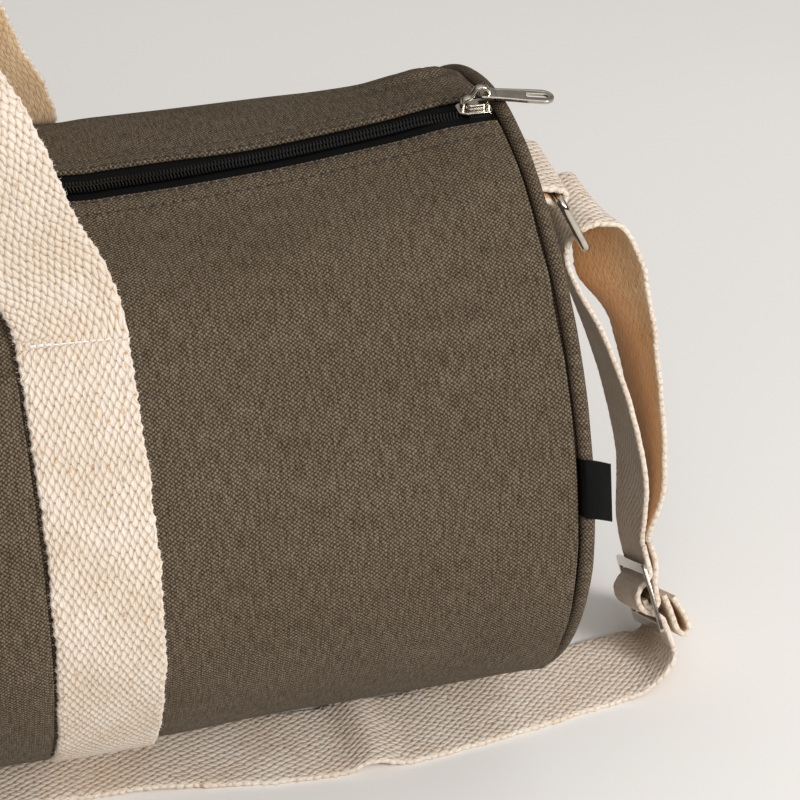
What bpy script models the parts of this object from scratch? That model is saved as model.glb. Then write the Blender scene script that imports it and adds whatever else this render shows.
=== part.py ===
"""A round canvas gym bag with two webbing handles, a top zip and a shoulder strap. Metres, +Z up."""

import bmesh
import bpy
import numpy as np
from mathutils import Matrix, Vector

MM = 0.001

# Driving dimensions, in metres
BAG_HALF_LENGTH = 250 * MM
BODY_HALF_WIDTH = 128 * MM
BODY_TOP = 249 * MM
BELLY_HEIGHT = 2.7 * MM
BELLY_FLATTENING = 3 * MM
RIM_RISE = 3 * MM
PIPING_RADIUS = 2.75 * MM
CANVAS = 1.2 * MM
GAP = 0.3 * MM
ROUND_POWER = 1.83
END_BULGE = 8 * MM
END_BULGE_POWER = 2.5
LIP_HINGE_ANGLE = 120.0
LIP_HINGE_GAP_ANGLE = 0.2
ZIP_OPENING_HALF = 7 * MM

WEBBING_WIDTH = 40 * MM
WEBBING = 2.4 * MM
HANDLE_LEG_X = 72 * MM
STITCH_ANGLE = 127.5
STITCH_GAP = 0.3 * MM

BINDING_DEPTH = 9 * MM
BINDING_WIDTH = 2.4 * MM

POCKET_HALF_WIDTH = 51.2 * MM
POCKET_TOP_ANGLE = 131.0
POCKET_BOTTOM_ANGLE = 222.0
POCKET_FULLNESS = 1.5 * MM

LABEL_LOW_ANGLE = 160.0
LABEL_HIGH_ANGLE = 169.5
LABEL = 1.0 * MM

TAPE = 0.7 * MM
TAPE_INNER = 1.2 * MM
TAPE_OUTER = 16 * MM
COIL_HEIGHT = 2.0 * MM
COIL_HALF_WIDTH = 3.2 * MM
TOOTH_PITCH = 5 * MM
TOOTH_REACH = 0.6 * MM
TOOTH_GAP = 0.2 * MM
COIL_STOP_LEFT = 243.5 * MM
COIL_STOP_RIGHT = 241.5 * MM

SLIDER_LEFT = 233.0 * MM
SLIDER_RIGHT = 246.4 * MM
SLIDER_PLATE = 1.3 * MM
SLIDER_HALF_WIDTH = 4.6 * MM
SLIDER_FLANGE = 1.0 * MM
SLIDER_NECK = 3.0 * MM
SLIDER_POST_HALF = 0.8 * MM
SLIDER_POST_LENGTH = 2.0 * MM
SLIDER_POST_INSET = 1.6 * MM
BAIL_HALF_WIDTH = 1.5 * MM
BAIL_WIRE = 1.4 * MM
BAIL_RADIUS = 3.8 * MM
BAIL_LEFT_FOOT = 1.6 * MM
PIVOT_ALONG = 9.3 * MM
PIVOT_RISE = 6.6 * MM
PULLER_DROOP = 5.0
PULLER_TURN = 10.0
PULLER_LENGTH = 28 * MM
PULLER = 1.3 * MM
PULLER_ROOT_HALF = 3.5 * MM
PULLER_TIP_HALF = 4.2 * MM
PULLER_EYE_HALF = 2.0 * MM
PULLER_EYE_END = 4.8 * MM
PULLER_SLOT_HALF = 1.5 * MM
PULLER_SLOT_START = 17.5 * MM
PULLER_SLOT_END = 25.5 * MM

TAB_WIDTH = 38 * MM
RING_WIRE = 1.75 * MM
RING_INSIDE = 41.4 * MM
RING_TOP = (270.2 * MM, 219.0 * MM)
RING_FOOT = (282.6 * MM, 195.5 * MM)
ADJUSTER_CENTRE = (314.0 * MM, -43.6 * MM, 28.2 * MM)
ADJUSTER_DOWN = (0.151, -0.582, -0.799)
ADJUSTER_ACROSS = (0.074, 0.893, -0.444)
ADJUSTER_HALF_LENGTH = 15 * MM
ADJUSTER_BAR = 4 * MM
ADJUSTER_SIDE = 2.4 * MM
ADJUSTER_PLATE = 1.8 * MM

# Bail: directions of its corners as seen from the puller's pivot, in degrees
BAIL_TURNS = (-20, 15, 50, 90, 130, 165)

# Handle centre line from the stitch to the top, right half of the front handle, in millimetres
HANDLE_LINE_MM = [
    (72.0, -67.5, 239.5),
    (67.5, -64.0, 257.0),
    (58.5, -60.0, 286.0),
    (45.0, -56.0, 322.0),
    (29.0, -52.5, 352.0),
    (13.0, -50.5, 371.0),
    (0.0, -50.0, 376.0),
]
HANDLE_TURN_START_SHARE = 0.3

# Strap layers between ring and adjuster: near edge in millimetres (x, y, z), from the ring down
INNER_LAYER_MM = [
    (276.2, -20.0, 189.0),
    (281.2, -21.0, 176.4),
    (291.4, -24.0, 157.2),
    (303.1, -33.0, 126.4),
    (310.2, -43.0, 93.0),
]
RING_TURN_MM = [
    (275.6, -20.0, 195.8),
    (278.4, -20.0, 201.4),
    (283.6, -20.0, 204.2),
    (289.2, -20.0, 204.4),
]
OUTER_LAYER_MM = [
    (297.4, -20.0, 200.2),
    (306.6, -21.0, 185.7),
    (312.4, -23.0, 167.9),
    (316.4, -26.5, 144.6),
    (319.5, -42.0, 88.0),
]
LEFT_RETURN_MM = [
    (292.0, -20.0, 197.0),
    (290.2, -20.6, 184.0),
    (289.4, -21.6, 172.5),
    (293.0, -23.4, 162.0),
]

# The adjuster's weave: distance down the adjuster, distance outward, in millimetres
PASSING_WEAVE_MM = [
    (-27, 3.6), (-13, 2.9), (-10.2, 2.7), (-7.4, 0.2), (-5.2, -3.2), (-2.4, -5.3),
    (2.4, -5.3), (5.2, -3.2), (7.4, 0.2), (10.2, 2.7), (13, 2.9), (16.4, 3.2),
]
SEWN_WEAVE_MM = [
    (-27, 6.9), (-13, 6.0), (-6.0, 3.6), (0.0, 2.6), (2.8, 2.4), (4.2, 0.0), (2.8, -2.4), (0.0, -2.6),
]

# From the adjuster to the floor: centre (x, y, z) in millimetres, then the direction of the width
STRAP_TURN_MM = [
    (320.5, -54.5, 11.8, 0.06, 0.90, -0.40),
    (316.5, -57.0, 7.0, 0.03, 0.95, -0.25),
    (306.0, -58.5, 3.0, 0.00, 1.00, -0.05),
]
LEFT_RISE_MM = [
    (319.6, -50.0, 20.0, 0.07, 0.89, -0.44),
    (317.0, -44.0, 34.0, 0.07, 0.89, -0.44),
]
# Floor run of the strap, right half: centre line in millimetres (x, y)
FLOOR_RUN_MM = [(290, -60), (262, -64), (228, -69), (190, -72), (150, -70), (110, -64), (60, -58), (0, -54)]

# Resolution
ROUND_STEP = 5.0
PIPING_SIDES = 10
WIRE_SIDES = 10
STRAP_STEP = 9 * MM
HANDLE_STEP = 12 * MM
TAB_STEP = 4 * MM

DEG = np.pi / 180


# Materials and objects
def material(name, colour, metallic, roughness):
    made = bpy.data.materials.new(name)
    made.use_nodes = True
    shader = made.node_tree.nodes["Principled BSDF"]
    shader.inputs["Base Color"].default_value = (*colour, 1)
    shader.inputs["Metallic"].default_value = metallic
    shader.inputs["Roughness"].default_value = roughness
    return made


def add_object(name, points, faces, look, origin=(0, 0, 0)):
    """A closed mesh whose origin is put at the given point, with its faces turned outward."""
    points = np.asarray(points, float) - np.asarray(origin, float)
    mesh = bpy.data.meshes.new(name)
    mesh.from_pydata([tuple(p) for p in points], [], [list(f) for f in faces])
    work = bmesh.new()
    work.from_mesh(mesh)
    bmesh.ops.connect_verts_nonplanar(work, angle_limit=0.01 * DEG, faces=work.faces[:])
    bmesh.ops.triangulate(work, faces=[f for f in work.faces if not is_flat(f)])
    bmesh.ops.recalc_face_normals(work, faces=work.faces[:])
    if work.calc_volume(signed=True) < 0:
        bmesh.ops.reverse_faces(work, faces=work.faces[:])
    work.to_mesh(mesh)
    work.free()
    mesh.materials.append(look)
    made = bpy.data.objects.new(name, mesh)
    made.location = origin
    bpy.context.scene.collection.objects.link(made)
    return made


def is_flat(face):
    corner = face.verts[0].co
    return all(abs((v.co - corner).dot(face.normal)) < GAP / 1000 for v in face.verts)


# Round sections
class Oval:
    """A rounded section with a flattened bottom, given by half width, top and bottom heights."""

    def __init__(self, half_width, top, bottom):
        self.half_width = half_width
        self.bottom = bottom
        self.half_height = (top - bottom + BELLY_FLATTENING) / 2
        self.centre = top - self.half_height

    def normal(self, angle):
        c, s = np.cos(angle * DEG), np.sin(angle * DEG)
        reach = (abs(c) ** ROUND_POWER + abs(s) ** ROUND_POWER) ** (-1 / ROUND_POWER)
        out = np.array([
            np.sign(c) * abs(c * reach) ** (ROUND_POWER - 1) / self.half_width,
            np.sign(s) * abs(s * reach) ** (ROUND_POWER - 1) / self.half_height,
        ])
        return out / np.linalg.norm(out)

    def point(self, angle, offset=0.0):
        """(y, z) at an angle measured from +Y, moved outward by the offset."""
        c, s = np.cos(angle * DEG), np.sin(angle * DEG)
        reach = (abs(c) ** ROUND_POWER + abs(s) ** ROUND_POWER) ** (-1 / ROUND_POWER)
        y, z = np.array([self.half_width * reach * c, self.centre + self.half_height * reach * s])
        y, z = np.array([y, z]) + offset * self.normal(angle)
        return y, max(z, self.bottom - offset)

    def angle_at_y(self, y):
        """The angle on the top half whose point has this y."""
        low, high = 0.0, 180.0
        while high - low > GAP:
            middle = (low + high) / 2
            low, high = (middle, high) if self.point(middle)[0] > y else (low, middle)
        return middle


BODY = Oval(BODY_HALF_WIDTH, BODY_TOP, BELLY_HEIGHT)
RIM = Oval(BODY_HALF_WIDTH, BODY_TOP + RIM_RISE, PIPING_RADIUS + GAP)


def spread(start, end, step):
    """Start, end, and every whole step between them, so that all round sections share their corners."""
    first, last = int(np.floor(start / step)) + 1, int(np.ceil(end / step)) - 1
    return np.array([start, *(k * step for k in range(first, last + 1)), end])


def rolled_sheet(name, rows, thickness, look, origin=(0, 0, 0)):
    """A sheet bent round X. Each row is (x, oval, angles, offsets of its outer face)."""
    outer, inner = [], []
    for x, oval, angles, offsets in rows:
        offsets = np.broadcast_to(offsets, len(angles))
        outer.append([(x, *oval.point(a, o)) for a, o in zip(angles, offsets)])
        inner.append([(x, *oval.point(a, o - thickness)) for a, o in zip(angles, offsets)])
    return sheet_solid(name, outer, inner, look, origin)


def sheet_solid(name, outer, inner, look, origin=(0, 0, 0)):
    """Two grids of points of the same size, joined all round their edges."""
    rows, columns = len(outer), len(outer[0])
    size = rows * columns
    points = [p for row in outer for p in row] + [p for row in inner for p in row]
    faces = []
    for i in range(rows - 1):
        for j in range(columns - 1):
            a = i * columns + j
            quad = [a, a + 1, a + columns + 1, a + columns]
            faces += [quad, [k + size for k in reversed(quad)]]
    edge = [j for j in range(columns)]
    edge += [i * columns + columns - 1 for i in range(1, rows)]
    edge += [(rows - 1) * columns + j for j in range(columns - 2, -1, -1)]
    edge += [i * columns for i in range(rows - 2, 0, -1)]
    for a, b in zip(edge, edge[1:] + edge[:1]):
        faces.append([b, a, a + size, b + size])
    return add_object(name, points, faces, look, origin)


def prism(name, outlines, axis, start, end, look, origin=(0, 0, 0)):
    """Flat outlines, the first the outside and the rest its holes, pushed along an axis."""
    work = bmesh.new()
    for outline in outlines:
        ring = [work.verts.new((u, v, 0)) for u, v in outline]
        for a, b in zip(ring, ring[1:] + ring[:1]):
            work.edges.new((a, b))
    bmesh.ops.triangle_fill(work, use_beauty=True, use_dissolve=False, edges=work.edges[:])
    bmesh.ops.dissolve_limit(
        work, angle_limit=DEG, verts=work.verts[:], edges=[e for e in work.edges if not e.is_boundary]
    )
    flat = [tuple(v.co)[:2] for v in work.verts]
    work.verts.index_update()
    caps = [[v.index for v in f.verts] for f in work.faces]
    sides = [(e.verts[0].index, e.verts[1].index) for e in work.edges if e.is_boundary]
    work.free()
    place = {
        "X": lambda u, v, w: (w, u, v),
        "Y": lambda u, v, w: (u, w, v),
        "Z": lambda u, v, w: (u, v, w),
    }[axis]
    points = [place(u, v, w) for w in (start, end) for u, v in flat]
    size = len(flat)
    faces = caps + [[k + size for k in reversed(c)] for c in caps]
    faces += [[a, b, b + size, a + size] for a, b in sides]
    return add_object(name, points, faces, look, origin)


def ring_tube(name, centres, radius, sides, look, origin=(0, 0, 0)):
    """A round wire along a closed loop of points."""
    centres = [Vector(c) for c in centres]
    count = len(centres)
    points, faces = [], []
    for i, centre in enumerate(centres):
        ahead = (centres[(i + 1) % count] - centres[i - 1]).normalized()
        across, up = loop_frame(centres, ahead)
        for k in range(sides):
            turn = 2 * np.pi * k / sides
            points.append(centre + (across * np.cos(turn) + up * np.sin(turn)) * radius)
    for i in range(count):
        for k in range(sides):
            a, b = i * sides, ((i + 1) % count) * sides
            faces.append([a + k, a + (k + 1) % sides, b + (k + 1) % sides, b + k])
    return add_object(name, points, faces, look, origin)


def loop_frame(centres, ahead):
    """Two directions square to the path, one of them along the normal of the loop's plane."""
    middle = sum(centres, Vector()) / len(centres)
    normal = (centres[0] - middle).cross(centres[len(centres) // 4] - middle).normalized()
    across = (normal - ahead * normal.dot(ahead)).normalized()
    return across, ahead.cross(across)


def smooth_line(points, step):
    """A curve through the points (Catmull-Rom by chord length), sampled about every step."""
    points = np.asarray(points, float)
    ends = [2 * points[0] - points[1], *points, 2 * points[-1] - points[-2]]
    line = [points[0]]
    for a, b, c, d in zip(ends, ends[1:], ends[2:], ends[3:]):
        chord = [max(np.linalg.norm((q - p)[:3]), GAP) ** 0.5 for p, q in ((a, b), (b, c), (c, d))]
        t0, t1, t2, t3 = np.cumsum([0, *chord])
        for t in np.linspace(t1, t2, max(2, int(np.ceil(chord[1] ** 2 / step)) + 1))[1:]:
            ab = a + (b - a) * (t - t0) / (t1 - t0)
            bc = b + (c - b) * (t - t1) / (t2 - t1)
            cd = c + (d - c) * (t - t2) / (t3 - t2)
            abc = ab + (bc - ab) * (t - t0) / (t2 - t0)
            bcd = bc + (cd - bc) * (t - t1) / (t3 - t1)
            line.append(abc + (bcd - abc) * (t - t1) / (t2 - t1))
    return np.array(line)


def ribbon(name, centres, widths, width, thickness, look, origin=(0, 0, 0)):
    """A flat strap along a line of centres, each with the direction of its width."""
    centres = np.asarray(centres, float)
    outer, inner = [], []
    for i, (centre, across) in enumerate(zip(centres, widths)):
        ahead = centres[min(i + 1, len(centres) - 1)] - centres[max(i - 1, 0)]
        ahead = ahead / np.linalg.norm(ahead)
        across = np.asarray(across, float) - ahead * np.dot(across, ahead)
        across = across / np.linalg.norm(across)
        out = np.cross(across, ahead)
        side, face = across * width / 2, out * thickness / 2
        outer.append([centre - side + face, centre + side + face])
        inner.append([centre - side - face, centre + side - face])
    return sheet_solid(name, outer, inner, look, origin)


# Looks
canvas = material("canvas", (0.12, 0.105, 0.08), 0, 0.9)
webbing = material("webbing", (0.72, 0.62, 0.48), 0, 0.9)
black_cloth = material("black_cloth", (0.01, 0.01, 0.01), 0, 0.7)
nickel = material("nickel", (0.75, 0.75, 0.75), 1, 0.2)

for old in list(bpy.data.objects):
    bpy.data.objects.remove(old, do_unlink=True)

# Canvas shell
seam_offset = -(PIPING_RADIUS + GAP)
seam_x = BAG_HALF_LENGTH - GAP / 2
groove_x = BAG_HALF_LENGTH - PIPING_RADIUS - GAP
shoulder_x = groove_x - PIPING_RADIUS

wrap = spread(
    LIP_HINGE_ANGLE + LIP_HINGE_GAP_ANGLE, 360 + 180 - LIP_HINGE_ANGLE - LIP_HINGE_GAP_ANGLE, ROUND_STEP
)


def shell_rows(angles, below=0.0):
    """The shell from groove to groove, where it dips under the piping."""
    return [
        (-groove_x, RIM, angles, seam_offset - below),
        (-shoulder_x, BODY, angles, -below),
        (shoulder_x, BODY, angles, -below),
        (groove_x, RIM, angles, seam_offset - below),
    ]


ends = [(x, RIM, wrap, seam_offset) for x in (-seam_x, seam_x)]
rolled_sheet("body_panel", [ends[0], *shell_rows(wrap), ends[1]], CANVAS, canvas)

zip_edge_angle = BODY.angle_at_y(-ZIP_OPENING_HALF)
lip_angles = spread(zip_edge_angle, LIP_HINGE_ANGLE - LIP_HINGE_GAP_ANGLE, ROUND_STEP)
front_hinge = (0, *BODY.point(LIP_HINGE_ANGLE))
back_hinge = (0, *BODY.point(180 - LIP_HINGE_ANGLE))
for name, angles, hinge in (
    ("front_lip", lip_angles, front_hinge),
    ("back_lip", 180 - lip_angles[::-1], back_hinge),
):
    rolled_sheet(name, shell_rows(angles), CANVAS, canvas, hinge)


def end_panel(name, side):
    """A domed disc whose edge lies under the piping."""
    shares = [0.12, 0.35, 0.6, 0.8, 0.92, 1.0]
    angles = np.arange(0, 360, ROUND_STEP)
    count = len(angles)
    middle = np.array([0, RIM.centre])
    edge = np.array([RIM.point(a, seam_offset) for a in angles])
    points, faces = [], []
    for layer in (1, 0):
        for share in shares:
            x = BAG_HALF_LENGTH + GAP / 2 + layer * CANVAS + END_BULGE * (1 - share**END_BULGE_POWER)
            points += [(side * x, *(middle + (p - middle) * share)) for p in edge]
    size = len(shares) * count
    for i in range(len(shares) - 1):
        for j in range(count):
            a, b = i * count + j, i * count + (j + 1) % count
            quad = [a, b, b + count, a + count]
            faces += [quad, [k + size for k in reversed(quad)]]
    for j in range(count):
        a, b = size - count + j, size - count + (j + 1) % count
        faces.append([a, b, b + size, a + size])
    faces += [list(range(count)), list(range(size, size + count))]
    add_object(name, points, faces, canvas)


for name, side in (("right", 1), ("left", -1)):
    end_panel(f"end_panel_{name}", side)
    around = np.arange(0, 360, ROUND_STEP)
    ring_tube(
        f"piping_{name}",
        [(side * BAG_HALF_LENGTH, *RIM.point(a)) for a in around],
        PIPING_RADIUS,
        PIPING_SIDES,
        canvas,
    )


def binding(name, side):
    """A flat tape ring that closes the seam allowance inside the bag."""
    angles = np.arange(0, 360, ROUND_STEP)
    outside = [RIM.point(a, seam_offset - CANVAS - GAP) for a in angles]
    inside = [RIM.point(a, seam_offset - CANVAS - GAP - BINDING_DEPTH) for a in angles]
    near = side * (BAG_HALF_LENGTH - BINDING_WIDTH)
    prism(name, [outside, inside], "X", near, side * (BAG_HALF_LENGTH - GAP / 2), canvas)


for name, side in (("right", 1), ("left", -1)):
    binding(f"seam_binding_{name}", side)

# Front pocket between the handle legs
pocket_angles = spread(POCKET_TOP_ANGLE, POCKET_BOTTOM_ANGLE, ROUND_STEP)
down_share = np.linspace(0, 1, len(pocket_angles))
rows = []
for across_share in np.linspace(-1, 1, 9):
    fullness = POCKET_FULLNESS * (1 - across_share**2) * np.cos(down_share * np.pi / 2)
    rows.append((across_share * POCKET_HALF_WIDTH, BODY, pocket_angles, GAP + CANVAS + fullness))
rolled_sheet("front_pocket", rows, CANVAS, canvas)

# Handle webbing sewn round the body, and the free handles above the stitch
stitch_point = np.array([0, *BODY.point(STITCH_ANGLE, GAP + WEBBING)])
stitch_normal = np.array([0, *BODY.normal(STITCH_ANGLE)])
stitch_rise = np.array([0, stitch_normal[2], -stitch_normal[1]])
run_gap_angle = STITCH_GAP / BODY_HALF_WIDTH / DEG
run_angles = spread(STITCH_ANGLE + run_gap_angle, 540 - STITCH_ANGLE - run_gap_angle, ROUND_STEP)
for name, side in (("right", 1), ("left", -1)):
    middle = side * HANDLE_LEG_X
    rows = [
        (middle - WEBBING_WIDTH / 2, BODY, run_angles, GAP + WEBBING),
        (middle + WEBBING_WIDTH / 2, BODY, run_angles, GAP + WEBBING),
    ]
    rolled_sheet(f"handle_webbing_{name}", rows, WEBBING, webbing)


def handle(name, facing):
    """One free handle, standing up: legs leaning in, turned flat at the top for the hand."""
    start = stitch_point - stitch_normal * WEBBING / 2 + [HANDLE_LEG_X, 0, 0]
    half = [start + stitch_rise * STITCH_GAP, start + stitch_rise * WEBBING * 2 + stitch_normal * GAP * 3]
    half = smooth_line([*half, *(np.array(HANDLE_LINE_MM) * MM)], HANDLE_STEP)
    line = np.vstack([half, half[-2::-1] * [-1, 1, 1]])
    travel = np.concatenate([[0], np.cumsum(np.linalg.norm(np.diff(half, axis=0), axis=1))])
    share = np.clip((travel / travel[-1] - HANDLE_TURN_START_SHARE) / (1 - HANDLE_TURN_START_SHARE), 0, 1)
    turn = share * share * (3 - 2 * share) * np.pi / 2
    widths = []
    for direction, turned in zip(np.gradient(half, axis=0), turn):
        direction = direction / np.linalg.norm(direction)
        level = np.array([1.0, 0, 0]) - direction * direction[0]
        level = level / np.linalg.norm(level) if np.linalg.norm(level) > GAP else np.array([0, 0, 1.0])
        widths.append(np.cos(turned) * level + np.sin(turned) * np.cross(direction, level))
    widths = np.array(widths)
    widths = np.vstack([widths, widths[-2::-1] * [-1, 1, 1]])
    flip = [1, facing, 1]
    origin = tuple(stitch_point * flip)
    ribbon(name, line * flip, widths * flip, WEBBING_WIDTH, WEBBING, webbing, origin)


handle("handle_front", 1)
handle("handle_back", -1)

# Side label, folded over the piping
label_angles = spread(LABEL_LOW_ANGLE, LABEL_HIGH_ANGLE, ROUND_STEP / 2)
over = PIPING_RADIUS + GAP + LABEL
label_line = [
    (groove_x - GAP, RIM, label_angles, GAP + LABEL / 2),
    (BAG_HALF_LENGTH - PIPING_RADIUS / 2, RIM, label_angles, over + GAP),
    (BAG_HALF_LENGTH + PIPING_RADIUS / 2, RIM, label_angles, over + GAP),
    (BAG_HALF_LENGTH + PIPING_RADIUS * 2, RIM, label_angles, over),
    (BAG_HALF_LENGTH + PIPING_RADIUS * 4, RIM, label_angles, over - GAP * 2),
]
rolled_sheet("side_label", label_line, LABEL, black_cloth)

# Zip
tape_top = BODY_TOP - CANVAS - GAP
coil_bottom = tape_top + GAP
coil_top = coil_bottom + COIL_HEIGHT


def zip_side(name, side, hinge):
    """One tape with its row of teeth; side is -1 for the front."""
    edges = sorted(BODY.angle_at_y(side * y) for y in (TAPE_INNER, TAPE_OUTER))
    rolled_sheet(
        f"zip_tape_{name}", shell_rows(spread(*edges, ROUND_STEP), CANVAS + GAP), TAPE, black_cloth, hinge
    )
    teeth = tooth_line(side)
    back = [(teeth[-1][0], side * COIL_HALF_WIDTH), (teeth[0][0], side * COIL_HALF_WIDTH)]
    prism(f"zip_teeth_{name}", [teeth + back], "Z", coil_bottom, coil_top, black_cloth, hinge)


def tooth_line(side):
    """The meshing edge: a row of teeth that fits into the other side's with a small gap."""
    line = []
    count = int((COIL_STOP_RIGHT + COIL_STOP_LEFT) / TOOTH_PITCH)
    half = TOOTH_PITCH / 2
    out, back = TOOTH_REACH - TOOTH_GAP / 2, -TOOTH_REACH - TOOTH_GAP / 2
    for k in range(count):
        left = -COIL_STOP_LEFT + k * TOOTH_PITCH
        if side < 0:
            steps = [(0, out), (half - TOOTH_GAP, out), (half - TOOTH_GAP, back), (2 * half, back)]
        else:
            steps = [(-TOOTH_GAP, back), (half, back), (half, out), (2 * half - TOOTH_GAP, out)]
        line += [(left + x, -side * y) for x, y in steps]
    return line


zip_side("front", -1, front_hinge)
zip_side("back", 1, back_hinge)

# Slider: two plates joined by a post, side flanges, and the bail that holds the puller
plate_low = tape_top - TAPE - GAP * 2
plate_high = coil_top + GAP
slider_top = plate_high + SLIDER_PLATE
rest_point = (SLIDER_LEFT, 0, slider_top)
pivot = (SLIDER_LEFT + PIVOT_ALONG, 0, slider_top + PIVOT_RISE)


def box(low, high):
    low, high = np.minimum(low, high), np.maximum(low, high)
    points = [(x, y, z) for z in (low[2], high[2]) for y in (low[1], high[1]) for x in (low[0], high[0])]
    faces = [[0, 2, 3, 1], [4, 5, 7, 6], [0, 1, 5, 4], [2, 6, 7, 3], [0, 4, 6, 2], [1, 3, 7, 5]]
    return points, faces


def slider():
    inner = SLIDER_HALF_WIDTH - SLIDER_FLANGE
    flange_foot = coil_bottom
    neck = SLIDER_RIGHT - SLIDER_POST_INSET
    cap = [
        (SLIDER_LEFT, -SLIDER_NECK), (SLIDER_LEFT + SLIDER_NECK, -SLIDER_HALF_WIDTH),
        (SLIDER_RIGHT, -SLIDER_HALF_WIDTH), (SLIDER_RIGHT, SLIDER_HALF_WIDTH),
        (SLIDER_LEFT + SLIDER_NECK, SLIDER_HALF_WIDTH), (SLIDER_LEFT, SLIDER_NECK),
    ]
    pieces = [prism("slider_cap", [cap], "Z", plate_high, slider_top, nickel)]
    base = [(x, y * (SLIDER_HALF_WIDTH - SLIDER_FLANGE / 2) / SLIDER_HALF_WIDTH) for x, y in cap]
    pieces.append(prism("slider_base", [base], "Z", plate_low - SLIDER_PLATE, plate_low, nickel))
    post = [
        (neck - SLIDER_POST_LENGTH, -SLIDER_POST_HALF), (neck, -SLIDER_POST_HALF),
        (neck, SLIDER_POST_HALF), (neck - SLIDER_POST_LENGTH, SLIDER_POST_HALF),
    ]
    sunk = SLIDER_PLATE / 2
    pieces.append(prism("slider_post", [post], "Z", plate_low - sunk, plate_high + sunk, nickel))
    for side in (-1, 1):
        points, faces = box(
            (SLIDER_LEFT + SLIDER_NECK + GAP, side * inner, flange_foot),
            (SLIDER_RIGHT - GAP, side * (SLIDER_HALF_WIDTH - GAP / 2), plate_high + sunk),
        )
        pieces.append(add_object("slider_flange", points, faces, nickel))
    foot = slider_top - SLIDER_PLATE / 4
    outside = [(SLIDER_LEFT + BAIL_LEFT_FOOT, foot), (pivot[0] + BAIL_RADIUS, foot)]
    for turn in BAIL_TURNS:
        corner = np.array([np.cos(turn * DEG), np.sin(turn * DEG)]) * BAIL_RADIUS
        outside.append((pivot[0] + corner[0], pivot[2] + corner[1]))
    inside = shrink(outside, BAIL_WIRE)
    pieces.append(prism("slider_bail", [outside, inside], "Y", -BAIL_HALF_WIDTH, BAIL_HALF_WIDTH, nickel))
    join_solid("zip_slider", pieces, rest_point)


def shrink(outline, distance):
    """The outline moved inward by a distance, corner by corner."""
    points = [Vector(p) for p in outline]
    count = len(points)
    moved = []
    for i, p in enumerate(points):
        before, after = (p - points[i - 1]).normalized(), (points[(i + 1) % count] - p).normalized()
        left_before, left_after = Vector((-before.y, before.x)), Vector((-after.y, after.x))
        lean = (left_before + left_after).normalized()
        moved.append(tuple(p + lean * distance / max(lean.dot(left_before), 0.5)))
    return moved


def join_solid(name, pieces, origin):
    """The union of overlapping pieces as one mesh."""
    base = pieces[0]
    base.name = name
    for piece in pieces[1:]:
        cut = base.modifiers.new("join", "BOOLEAN")
        cut.operation = "UNION"
        cut.solver = "EXACT"
        cut.object = piece
        deps = bpy.context.evaluated_depsgraph_get()
        mesh = bpy.data.meshes.new_from_object(base.evaluated_get(deps))
        base.modifiers.clear()
        base.data = mesh
        bpy.data.objects.remove(piece, do_unlink=True)
    base.data.name = name
    base.data.transform(Matrix.Translation(-Vector(origin)))
    base.location = origin
    return base


slider()


def puller():
    """A flat pull with an eye round the bail and a slot near its tip, turned a little to the front."""
    def corner_cut(x, y, cut):
        return [(x - cut, y), (x, y - cut)] if y > 0 else [(x, y + cut), (x - cut, y)]

    cut = PULLER_TIP_HALF / 2
    eye_back = PULLER / 2
    shoulder = PULLER_EYE_END + PULLER
    outside = [
        (-eye_back, PULLER_ROOT_HALF), (shoulder, PULLER_ROOT_HALF),
        (PULLER_SLOT_START, PULLER_TIP_HALF), *corner_cut(PULLER_LENGTH, PULLER_TIP_HALF, cut),
        *corner_cut(PULLER_LENGTH, -PULLER_TIP_HALF, cut), (PULLER_SLOT_START, -PULLER_TIP_HALF),
        (shoulder, -PULLER_ROOT_HALF), (-eye_back, -PULLER_ROOT_HALF),
    ]
    eye = [
        (eye_back, -PULLER_EYE_HALF), (PULLER_EYE_END, -PULLER_EYE_HALF),
        (PULLER_EYE_END, PULLER_EYE_HALF), (eye_back, PULLER_EYE_HALF),
    ]
    slot = [
        (PULLER_SLOT_START, -PULLER_SLOT_HALF), (PULLER_SLOT_END, -PULLER_SLOT_HALF),
        (PULLER_SLOT_END, PULLER_SLOT_HALF), (PULLER_SLOT_START, PULLER_SLOT_HALF),
    ]
    made = prism("zip_puller", [outside, eye, slot], "Z", -PULLER / 2, PULLER / 2, nickel)
    hole_middle = Vector(((eye_back + PULLER_EYE_END) / 2, 0, 0))
    wire_middle = Vector((BAIL_RADIUS - BAIL_WIRE / 2 - GAP / 2, 0, 0))
    turned = Matrix.Rotation(-PULLER_TURN * DEG, 4, "Z")
    made.data.transform(Matrix.Translation(wire_middle) @ turned @ Matrix.Translation(-hole_middle))
    made.data.transform(Matrix.Rotation(PULLER_DROOP * DEG, 4, "Y"))
    made.location = pivot


puller()

# Shoulder strap: tabs, rings, webbing and adjuster
ring_half = RING_INSIDE / 2 + RING_WIRE
swing_axis = (0, 0, RING_TOP[1])


def rounded_loop(top, foot, half, corner):
    """Centres of a rectangular ring's wire, its long sides along Y."""
    top, foot = np.array([top[0], 0, top[1]]), np.array([foot[0], 0, foot[1]])
    down = (foot - top) / np.linalg.norm(foot - top)
    height = np.linalg.norm(foot - top)
    line = []
    for cy, cd, start in (
        (half - corner, corner, 90), (half - corner, height - corner, 0),
        (corner - half, height - corner, -90), (corner - half, corner, -180),
    ):
        for turn in (0, -30, -60, -90):
            angle = (start + turn) * DEG
            y, d = cy + corner * np.cos(angle), cd - corner * np.sin(angle)
            line.append(top + down * d + np.array([0, y, 0]))
    return line


for name, side in (("right", 1), ("left", -1)):
    line = np.array(rounded_loop(RING_TOP, RING_FOOT, ring_half, RING_WIRE * 2)) * [side, 1, 1]
    ring_tube(f"strap_ring_{name}", line, RING_WIRE, WIRE_SIDES, nickel, swing_axis)


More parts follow.
